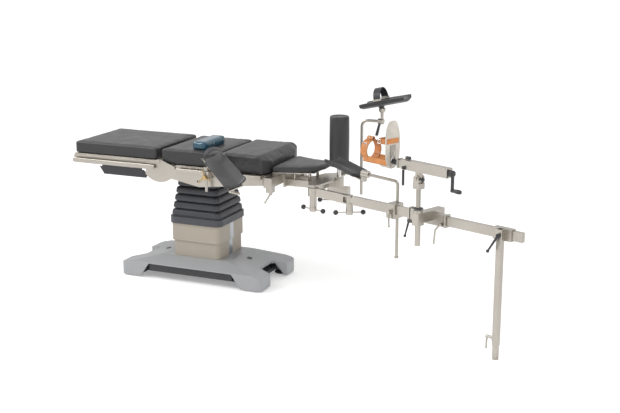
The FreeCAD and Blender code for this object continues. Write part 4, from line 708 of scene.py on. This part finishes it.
class TABLE_OT_table_pads(bpy.types.Operator):
    """Make the back, lower back and seat pads"""
    bl_idname = "table.table_pads"
    bl_label = "Table pads"

    def execute(self, context):
        settings = context.scene.table_pads
        for node, body in (("back_mattress", "back"), ("lower_back_mattress", "top"), ("seat_mattress", "top")):
            pad = grown(skin_of(node, settings.inset), node + "_cover", "upholstery")
            swollen(pad, settings.voxel, settings.swell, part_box(node)[0][2], settings)
            settle(pad, body, "upholstery", node)
            if node == "back_mattress":
                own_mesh(pad)
        return {"FINISHED"}


class TABLE_OT_thin_pads(bpy.types.Operator):
    """Make the pelvic pad, arm board pad and leg supports"""
    bl_idname = "table.thin_pads"
    bl_label = "Thin pads"

    def execute(self, context):
        settings = context.scene.table_pads
        for node, body in (("pelvic_pad", "top"), ("arm_pad", "arm_board"), ("crutch_pad", "crutch_pad"),
                           ("leg_rest_pad", "leg_rest"), ("head_cushion", "top")):
            bm = skin_of(node, 0.001)
            if node in ("arm_pad", "crutch_pad"):
                keep_longest(bm)
            finish = "gel" if node == "head_cushion" else "upholstery"
            pad = grown(bm, node + "_cover", finish)
            swollen(pad, settings.thin_voxel, settings.thin_swell, -1.0, settings)
            settle(pad, body, finish, node)
        return {"FINISHED"}


class TABLE_OT_perineal_post(bpy.types.Operator):
    """Make the padded perineal post on its steel bar"""
    bl_idname = "table.perineal_post"
    bl_label = "Perineal post"

    def execute(self, context):
        r, low, high = PERINEAL
        profile = [(0, low), (r - 8, low), (r - 2, low + 3), (r, low + 12), (r + 0.5, low + 100),
                   (r + 1, (low + high) / 2), (r + 0.5, high - 100), (r, high - 12), (r - 2, high - 3),
                   (r - 7, high), (r - 12, high - 2), (r - 14, high - 5), (12, high - 6), (0, high - 6)]
        bm = bmesh.new()
        add_lathe(bm, profile, Matrix.Translation(at(*PERINEAL_SPOT, 0.0)), 64)
        sleeve = grown(bm, "perineal_sleeve", "upholstery", 50.0)
        finer(sleeve)
        settle(sleeve, "top", "upholstery", "perineal_post")
        bm = bmesh.new()
        for start, end, size, edge in ((671.0, 788.0, 0.0125, 0.001), (776.0, 787.0, 0.026, 0.002)):
            add_rod(bm, at(*PERINEAL_SPOT, start), at(*PERINEAL_SPOT, end), size, round_end=edge)
        settle(grown(bm, "perineal_bar", "plated"), "top", "mast_steel")
        return {"FINISHED"}


def strap_arch(half):
    """Outline of a strap bowed over a gutter, a little flatter than a half circle."""
    return [Vector((point.x, point.y * 0.985)) for point in arc(half, 0.0, 180.0, 36)]


class TABLE_OT_support_straps(bpy.types.Operator):
    """Make the black straps bowed over the arm board and the knee crutch"""
    bl_idname = "table.support_straps"
    bl_label = "Support straps"

    def execute(self, context):
        for name, frame_of, half, rise, x, body in (
                ("arm_strap", BOARD, 61.5, 25.9, -159.0, "arm_board"),
                ("crutch_strap", CRUTCH, 71.5, 19.3, -22.0, "crutch_pad")):
            bm = bmesh.new()
            place = frame_of @ step(x, 0.0, rise) @ SIDEWAYS
            add_strap(bm, strap_arch(half), -22.0, 22.0, 3.0, place)
            for edge in (-20.0, 20.0):
                add_strap(bm, strap_arch(half + 0.6), edge - 1.0, edge + 1.0, 1.0, place)
            settle(grown(bm, name, "moulding", 50.0), body, "upholstery")
            bm = bmesh.new()
            for side in (-1, 1):
                middle = frame_of @ step(x, side * (half - 1.0), rise + 3.0)
                add_block(bm, Vector((-0.026, -0.004, -0.005)), Vector((0.026, 0.004, 0.006)), 0.0012, middle)
            settle(grown(bm, name + "_buckles", "steel_upright"), body, "stainless")
        return {"FINISHED"}


class TABLE_OT_clamp_handles(bpy.types.Operator):
    """Make the three clamp nuts with their cross rods and black balls"""
    bl_idname = "table.clamp_handles"
    bl_label = "Clamp handles"

    def execute(self, context):
        for node, body, axis, top, r, heading, slid in (
                ("inner_arm_handle", "left_arm_handle", at(*BAR_PIVOT, 0.0), 577.0, 21.0, -20.0, 0.0),
                ("outer_arm_handle", "left_bar_handle", spot(BAR, 288.0, 0, 0), 608.0, 21.0, 27.0, 0.0),
                ("right_arm_handle", "right_arm_handle", at(873.0, 85.0, 0.0), 563.0, 17.0, 199.5, 39.0)):
            place = Matrix.Translation(axis) @ turn(heading, "Z")
            bm = bmesh.new()
            low, high = top - NUT_HEIGHT, top - 0.3
            profile = [(0, low), (r - 3, low), (r - 1, low + 0.8), (r, low + 3), (r, high - 1.5),
                       (r - 1.5, high), (0, high)]
            add_lathe(bm, profile, place)
            mid = top - NUT_HEIGHT / 2
            ends = [spot(place, side * HANDLE_HALF + slid, 0, mid) for side in (-1, 1)]
            add_rod(bm, ends[0], ends[1], 0.004)
            settle(grown(bm, node + "_nut", "steel_upright"), body, "stainless", node)
            bm = bmesh.new()
            for end in ends:
                add_ball(bm, end, BALL_RADIUS * MM)
            settle(grown(bm, node + "_balls", "moulding", 180.0), body, "dark_plastic")
        return {"FINISHED"}


class TABLE_OT_small_fittings(bpy.types.Operator):
    """Make the black knobs, grips and rims of the screw unit, carriage, post and crutch"""
    bl_idname = "table.small_fittings"
    bl_label = "Small fittings"

    def execute(self, context):
        middle = -UNIT_BACK - LOCK_LENGTH / 2
        bm = bmesh.new()
        knob = [(0, -13.5), (6.8, -13.5), (8.6, -11.8), (8.8, 0), (8.8, 11.8), (6.8, 13.5), (0, 13.5)]
        add_lathe(bm, knob, UNIT @ step(middle + 10.0, 0.0, 36.0) @ turn(90.0, "Y"))
        ring = [(0, -0.8), (8.8, -0.8), (9, 1), (9, 9.5), (7.5, 11.4), (0, 11.4)]
        add_lathe(bm, ring, UNIT @ step(middle, -22.6, -14.0) @ turn(90.0, "X"))
        settle(grown(bm, "lock_knobs", "moulding", 40.0), "traction_unit", "dark_plastic")
        top = (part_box("traction_carriage")[1][2] - TABLE_ORIGIN.z) / MM + 0.4
        bm = bmesh.new()
        rim = [(15.3, top), (25, top), (27, top + 1.5), (27, top + 5), (25, top + 6.5), (15.3, top + 6.5),
               (15.3, top)]
        add_lathe(bm, rim, Matrix.Translation(at(*POST, 0.0)))
        half, low, high, wall = SLEEVE_RIM
        for x in [SLEEVE_MIDDLE + place for place in RIM_PLACES]:
            for y0, y1, z0, z1 in ((-half - wall, half + wall, high, high + wall),
                                   (-half - wall, half + wall, low - wall, low),
                                   (-half - wall, -half, low, high), (half, half + wall, low, high)):
                add_block(bm, Vector((x, y0, z0)) * MM, Vector((x + RIM_WIDTH, y1, z1)) * MM, 0.0004, BAR)
        settle(grown(bm, "carriage_rims", "moulding", 40.0), "carriage", "dark_plastic")
        bm = bmesh.new()
        knob = [(0, -0.2), (5, -0.2), (5, 8), (8.5, 8), (10, 9.5), (10, 17), (8.5, 20), (0, 20.5)]
        add_lathe(bm, knob, UNIT @ step(14.2, 0.0, -64.0) @ turn(90.0, "Y"))
        settle(grown(bm, "trunnion_knob", "moulding", 40.0), "traction_unit", "dark_plastic")
        bm = bmesh.new()
        add_rod(bm, at(1127.0, 95.6, 1044.0), at(1112.6, 83.0, 971.0), 0.0075, 0.0092, 0.002)
        settle(grown(bm, "crutch_grip", "moulding", 40.0), "crutch_head", "dark_plastic")
        bm = bmesh.new()
        add_rod(bm, spot(UNIT, middle + 0.3, -28.6, -24.0), spot(UNIT, middle + 2.0, -30.0, -107.0), 0.0068,
                round_end=0.002)
        settle(grown(bm, "lock_grip", "moulding", 40.0), "traction_unit", "dark_plastic")
        return {"FINISHED"}


class TABLE_OT_column_trims(bpy.types.Operator):
    """Make the flush metal trims down the foot side of the column covers"""
    bl_idname = "table.column_trims"
    bl_label = "Column trims"

    def execute(self, context):
        for node, body in (("column_lower_cover", "base"), ("column_middle_cover", "column_middle"),
                           ("column_upper_cover", "lift")):
            low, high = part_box(node)
            bm = bmesh.new()
            y = TABLE_ORIGIN.y - 0.006
            add_block(bm, Vector((high[0] - 0.0012, y - 0.024, low[2] + 0.0006)),
                      Vector((high[0] + 0.00025, y + 0.024, high[2] - 0.0006)), 0.0001)
            settle(grown(bm, node + "_trim", "trim", 40.0), body, "stainless")
        return {"FINISHED"}


class TABLE_OT_crank(bpy.types.Operator):
    """Make the black hand crank of the screw unit"""
    bl_idname = "table.crank"
    bl_label = "Crank"

    def execute(self, context):
        place = UNIT @ step(UNIT_FRONT, 0.0, 0.0)
        bm = bmesh.new()
        profile = [(0, 0.4), (15.5, 0.4), (17, 2), (17, 26), (15, 29), (9, 30.4), (0, 30.4)]
        add_lathe(bm, profile, place @ turn(90.0, "Y"))
        add_block(bm, Vector((0.016, -0.009, -CRANK_ARM * MM)), Vector((0.027, 0.009, 0.0)), 0.003, place)
        grip = [(0, 16.5), (10, 16.5), (10.5, 26), (8.5, 29), (9.5, 36), (11.8, 55),
                (11.8, 68), (9.5, 78), (0, 79.8)]
        add_lathe(bm, grip, place @ step(0.0, 0.0, -CRANK_ARM) @ turn(90.0, "Y"))
        settle(grown(bm, "crank_handle", "moulding", 40.0), "crank", "dark_plastic", "crank")
        return {"FINISHED"}


# Outline of the boot's sole in millimetres, across and upwards from its turning pin.
SOLE = [(-33, 214), (-6, 221), (26, 218), (44, 182), (56, 124), (55, 60), (51, 12), (38, -24), (0, -42),
        (-38, -24), (-51, 12), (-55, 60), (-56, 124), (-51, 176)]


def add_plate(bm, corners, radius, thickness, matrix):
    """A flat plate from a rounded outline in its X and Y plane, with a shallow inset face."""
    part = bmesh.new()
    points = rounded_path(corners, radius, 5)[:-1]
    ring = bmesh.ops.create_circle(part, cap_ends=True, segments=len(points), radius=1.0)["verts"]
    ring.sort(key=lambda v: math.atan2(v.co.y, v.co.x))
    centre = sum(points, Vector((0.0, 0.0))) / len(points)
    order = sorted(points, key=lambda p: math.atan2(p.y - centre.y, p.x - centre.x))
    for vert, point in zip(ring, order):
        vert.co = Vector((point.x, point.y, 0.0)) * MM
    made = bmesh.ops.extrude_face_region(part, geom=list(part.faces))["geom"]
    top = [g for g in made if isinstance(g, bmesh.types.BMVert)]
    bmesh.ops.translate(part, vec=(0.0, 0.0, thickness * MM), verts=top)
    bmesh.ops.recalc_face_normals(part, faces=part.faces)
    rims = [e for e in part.edges if any(len(f.verts) > 4 for f in e.link_faces)]
    round_edges(part, rims, 0.001, 2)
    faces = [f for f in part.faces if len(f.verts) > 8]
    bmesh.ops.inset_individual(part, faces=faces, thickness=0.005, depth=-0.0008)
    put(part, bm, matrix)


class TABLE_OT_boot(bpy.types.Operator):
    """Make the traction boot's sole, heel cup and steel bracket"""
    bl_idname = "table.boot"
    bl_label = "Boot"

    def execute(self, context):
        bm = bmesh.new()
        add_plate(bm, SOLE, 30.0, 4.0, BOOT @ SIDEWAYS)
        cup = arc(48.0, 218.0, 322.0, 28, (0.0, 8.0))
        add_strap(bm, cup, -57.0, 1.0, 4.0, BOOT @ SIDEWAYS)
        settle(grown(bm, "boot_sole", "boot", 40.0), "boot", "boot_grey", "boot_plate")
        bm = bmesh.new()
        add_block(bm, Vector((0.0042, -0.019, -0.028)), Vector((0.0088, 0.019, 0.088)), 0.0012, BOOT)
        for a, b in (((-19, 4), (19, 60)), ((19, 4), (-19, 60))):
            add_rod(bm, spot(BOOT, 9.0, a[0], a[1]), spot(BOOT, 9.0, b[0], b[1]), 0.0035)
        for y in (-12.0, 12.0):
            for z in (-18.0, 78.0):
                add_rod(bm, spot(BOOT, 8.5, y, z), spot(BOOT, 11.5, y, z), 0.004, round_end=0.001)
        settle(grown(bm, "boot_bracket", "steel_unit"), "boot", "stainless")
        bm = bmesh.new()
        gap = BOOT_REACH - NOSE_REACH
        add_rod(bm, spot(BOOT, 8.6, 0, 0), spot(BOOT, gap - 0.3, 0, 0), 0.014, round_end=0.002)
        add_rod(bm, spot(BOOT, gap - 0.4, 0, 0), spot(BOOT, gap + 7.6, 0, 0), 0.0056)
        settle(grown(bm, "boot_hub", "moulding"), "boot", "dark_plastic")
        return {"FINISHED"}


class TABLE_OT_boot_harness(bpy.types.Operator):
    """Make the leather gaiter and straps of the traction boot"""
    bl_idname = "table.boot_harness"
    bl_label = "Boot harness"

    def execute(self, context):
        bm = bmesh.new()
        around = BOOT @ SIDEWAYS
        middle = (0.0, GAITER_RISE)
        low, high = GAITER_ENDS
        add_strap(bm, arc(GAITER_RADIUS, -90.0, 270.0, 56, middle), low, high, 3.0, around)
        for x in (low + 1.0, high - 1.5):
            add_strap(bm, arc(GAITER_RADIUS + 0.8, -90.0, 270.0, 56, middle), x - 1.5, x + 1.5, 4.4, around)
        for side in (-1, 1):
            path = rounded_path([(-176.0, side * 43.0), (-120.0, side * 46.5), (-30.0, side * 45.0),
                                 (-0.6, side * 43.0)], 30.0, 6, False)
            add_strap(bm, path, *SIDE_STRAP, 3.0, BOOT)
            for z in (SIDE_STRAP[0] + 2.0, SIDE_STRAP[1] - 2.0):
                outer = [Vector((p.x, p.y + side * 0.7)) for p in path]
                add_strap(bm, outer, z - 0.7, z + 0.7, 1.4, BOOT)
        half = FOREFOOT_HALF
        corners = [(-57.0, -half), (FOREFOOT_BACK, -half), (FOREFOOT_BACK, half), (-57.0, half)]
        add_strap(bm, rounded_path(corners, 28.0, 8), *FOREFOOT_STRAP, 3.0, BOOT)
        settle(grown(bm, "boot_harness", "leather", 50.0), "boot", "strap_leather", "boot_straps")
        bm = bmesh.new()
        for x in (-172.0, -150.0):
            loop = arc(13.0, -25.0, 205.0, 18, (0.0, 103.0))
            add_strap(bm, loop, x - 8.0, x + 8.0, 2.4, around)
        add_strap(bm, arc(GAITER_RADIUS + 4.0, 48.0, 118.0, 16, middle), -168.0, -152.0, 2.6, around)
        settle(grown(bm, "boot_loops", "leather", 50.0), "boot", "strap_leather")
        bm = bmesh.new()
        for centre in (spot(BOOT, -160.0, -45.0, 72.0), spot(BOOT, -36.0, -HALF_BUCKLE, 111.0)):
            place = Matrix.Translation(centre) @ turn(UNIT_ANGLE, "Z")
            bars = [((-0.013, z - 0.0015), (0.013, z + 0.0015), 0.0008) for z in (-0.011, 0.011)]
            bars += [((x - 0.0013, -0.011), (x + 0.0013, 0.011), 0.0006) for x in (-0.012, 0.0, 0.012)]
            for (x0, z0), (x1, z1), edge in bars:
                add_block(bm, Vector((x0, -0.002, z0)), Vector((x1, 0.002, z1)), edge, place)
        settle(grown(bm, "boot_buckles", "plated"), "boot", "stainless")
        return {"FINISHED"}


# Inset from the crest and height share of each row in one fold.
FOLD_ROWS = ((1.0, 0.0), (0.86, 0.05), (0.36, 0.1), (0.08, 0.19), (0.0, 0.33), (0.0, 0.67), (0.08, 0.81),
             (0.36, 0.9), (0.86, 0.95))


def bellows_skin(settings, low, high, first, last):
    """The folds from number first to number last, drawn up ring by ring."""
    levels = [(inset, fold + share) for fold in range(first, last) for inset, share in FOLD_ROWS]
    rows = []
    for inset, level in levels + [(1.0, last)]:
        rise = level / settings.folds
        crest = settings.low_half + (settings.top_half - settings.low_half) * rise
        rows.append((crest - inset * settings.depth, low + rise * (high - low)))
    bm = bmesh.new()
    half, z = rows[0]
    bmesh.ops.create_grid(bm, x_segments=1, y_segments=1, size=half,
                          matrix=Matrix.Translation((TABLE_ORIGIN.x, TABLE_ORIGIN.y, z)))
    bmesh.ops.bevel(bm, geom=list(bm.verts), offset=0.03, segments=8, profile=0.5, affect="VERTICES",
                    material=-1)
    ring = list(bm.edges)
    bmesh.ops.delete(bm, geom=list(bm.faces), context="FACES_ONLY")
    centre = Vector((TABLE_ORIGIN.x, TABLE_ORIGIN.y, 0.0))
    for new_half, new_z in rows[1:]:
        made = bmesh.ops.extrude_edge_only(bm, edges=ring)["geom"]
        ring = [g for g in made if isinstance(g, bmesh.types.BMEdge)]
        verts = [g for g in made if isinstance(g, bmesh.types.BMVert)]
        factor = new_half / half
        bmesh.ops.translate(bm, vec=(0.0, 0.0, new_z - z), verts=verts)
        bmesh.ops.scale(bm, vec=(factor, factor, 1.0), verts=verts, space=Matrix.Translation(-centre))
        half, z = new_half, new_z
    return bm


class TABLE_OT_bellows(bpy.types.Operator):
    """Make the bellows, one part for each of the column's two tilt joints"""
    bl_idname = "table.bellows"
    bl_label = "Bellows"

    def execute(self, context):
        settings = context.scene.table_bellows
        low, high = at(0, 0, 405.3).z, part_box("bellows")[1][2]
        split = low + (high - low) * 4 / settings.folds
        for name, first, last, bodies, span in (
                ("bellows_lower", 0, 4, ("lift", "saddle"), (low + 0.02, split)),
                ("bellows_upper", 4, settings.folds, ("saddle", "top"), (split, high))):
            bm = bellows_skin(settings, low, high, first, last)
            piece = grown(bm, name, "bellows", 60.0)
            wall = piece.modifiers.new("Cloth wall", "SOLIDIFY")
            wall.thickness = 0.003
            wall.offset = -1.0
            baked(piece)
            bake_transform(piece)
            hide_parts("bellows")
        return {"FINISHED"}


# Where the camera of the photograph stands from the column's foot, in metres.
CAMERA_PLACE = Vector((3.43485, -6.26158, 2.21163))


class TABLE_OT_stage(bpy.types.Operator):
    """Set the floor, the soft lights and the camera"""
    bl_idname = "table.stage"
    bl_label = "Stage"

    def execute(self, context):
        settings = context.scene.table_stage
        scene = context.scene
        bm = bmesh.new()
        bmesh.ops.create_grid(bm, x_segments=8, y_segments=8, size=120.0)
        mesh = bpy.data.meshes.new("floor")
        bm.to_mesh(mesh)
        bm.free()
        floor = bpy.data.objects.new("floor", mesh)
        scene.collection.objects.link(floor)
        mesh.materials.append(floor_surface("Studio floor"))

        world = bpy.data.worlds.new("Studio")
        world.use_nodes = True
        scene.world = world
        tree = world.node_tree
        direction = tree.nodes.new("ShaderNodeTexCoord").outputs["Generated"]
        height = tree.nodes.new("ShaderNodeSeparateXYZ")
        tree.links.new(direction, height.inputs["Vector"])
        glow = tree.nodes.new("ShaderNodeValToRGB")
        stops = glow.color_ramp.elements
        stops[0].color = (0.42, 0.42, 0.42, 1.0)
        for position, value in ((0.25, 1.1), (0.55, 0.95)):
            stops.new(position).color = (value, value, value, 1.0)
        tree.links.new(height.outputs["Z"], glow.inputs["Fac"])
        background = tree.nodes["Background"]
        tree.links.new(glow.outputs["Color"], background.inputs["Color"])
        background.inputs["Strength"].default_value = 0.9

        for name, place, size, power in (("Key", (-2.4, -1.6, 3.6), 2.6, settings.key),
                                         ("Fill", (3.4, -2.6, 2.6), 2.4, settings.fill)):
            light = bpy.data.lights.new(name, "AREA")
            light.size = size
            light.energy = power
            obj = bpy.data.objects.new(name, light)
            scene.collection.objects.link(obj)
            obj.location = TABLE_ORIGIN + Vector(place)
            aim = TABLE_ORIGIN + Vector((0.6, -0.1, 0.6)) - obj.location
            obj.rotation_euler = aim.to_track_quat("-Z", "Y").to_euler()

        camera = bpy.data.cameras.new("Camera")
        camera.lens = settings.lens
        camera.sensor_width = 36.0
        camera.clip_end = 400.0
        view = bpy.data.objects.new("Camera", camera)
        scene.collection.objects.link(view)
        view.location = TABLE_ORIGIN + CAMERA_PLACE
        a, e = settings.azimuth, settings.elevation
        look = Vector((-math.sin(a) * math.cos(e), math.cos(a) * math.cos(e), -math.sin(e)))
        view.rotation_euler = look.to_track_quat("-Z", "Y").to_euler()
        scene.camera = view
        scene.view_settings.view_transform = "Standard"
        return {"FINISHED"}


class TABLE_PT_dressing(bpy.types.Panel):
    """Lists the dressing's steps and settings"""
    bl_idname = "TABLE_PT_dressing"
    bl_label = "Operating Table"
    bl_space_type = "VIEW_3D"
    bl_region_type = "UI"
    bl_category = "Operating Table"

    def draw(self, context):
        layout = self.layout
        for operator in OPERATORS:
            layout.operator(operator.bl_idname)
        for name, group in SETTINGS:
            box = layout.box()
            for label in group.__annotations__:
                box.prop(getattr(context.scene, name), label)


SETTINGS = (
    ("table_finishes", FinishSettings),
    ("table_pads", PadSettings),
    ("table_bellows", BellowsSettings),
    ("table_stage", StageSettings),
)

OPERATORS = (
    TABLE_OT_stage,
    TABLE_OT_finishes,
    TABLE_OT_bellows,
    TABLE_OT_table_pads,
    TABLE_OT_thin_pads,
    TABLE_OT_perineal_post,
    TABLE_OT_support_straps,
    TABLE_OT_clamp_handles,
    TABLE_OT_small_fittings,
    TABLE_OT_column_trims,
    TABLE_OT_crank,
    TABLE_OT_boot,
    TABLE_OT_boot_harness,
)


def register():
    for name, group in SETTINGS:
        bpy.utils.register_class(group)
        setattr(bpy.types.Scene, name, PointerProperty(type=group))
    for operator in OPERATORS:
        bpy.utils.register_class(operator)
    bpy.utils.register_class(TABLE_PT_dressing)


def unregister():
    bpy.utils.unregister_class(TABLE_PT_dressing)
    for operator in reversed(OPERATORS):
        bpy.utils.unregister_class(operator)
    for name, group in reversed(SETTINGS):
        delattr(bpy.types.Scene, name)
        bpy.utils.unregister_class(group)


def main():
    register()
    bpy.ops.table.stage()
    bpy.ops.table.finishes()
    bpy.ops.table.bellows()
    bpy.ops.table.table_pads()
    bpy.ops.table.thin_pads()
    bpy.ops.table.perineal_post()
    bpy.ops.table.support_straps()
    bpy.ops.table.clamp_handles()
    bpy.ops.table.small_fittings()
    bpy.ops.table.column_trims()
    bpy.ops.table.crank()
    bpy.ops.table.boot()
    bpy.ops.table.boot_harness()


if __name__ == "__main__":
    main()
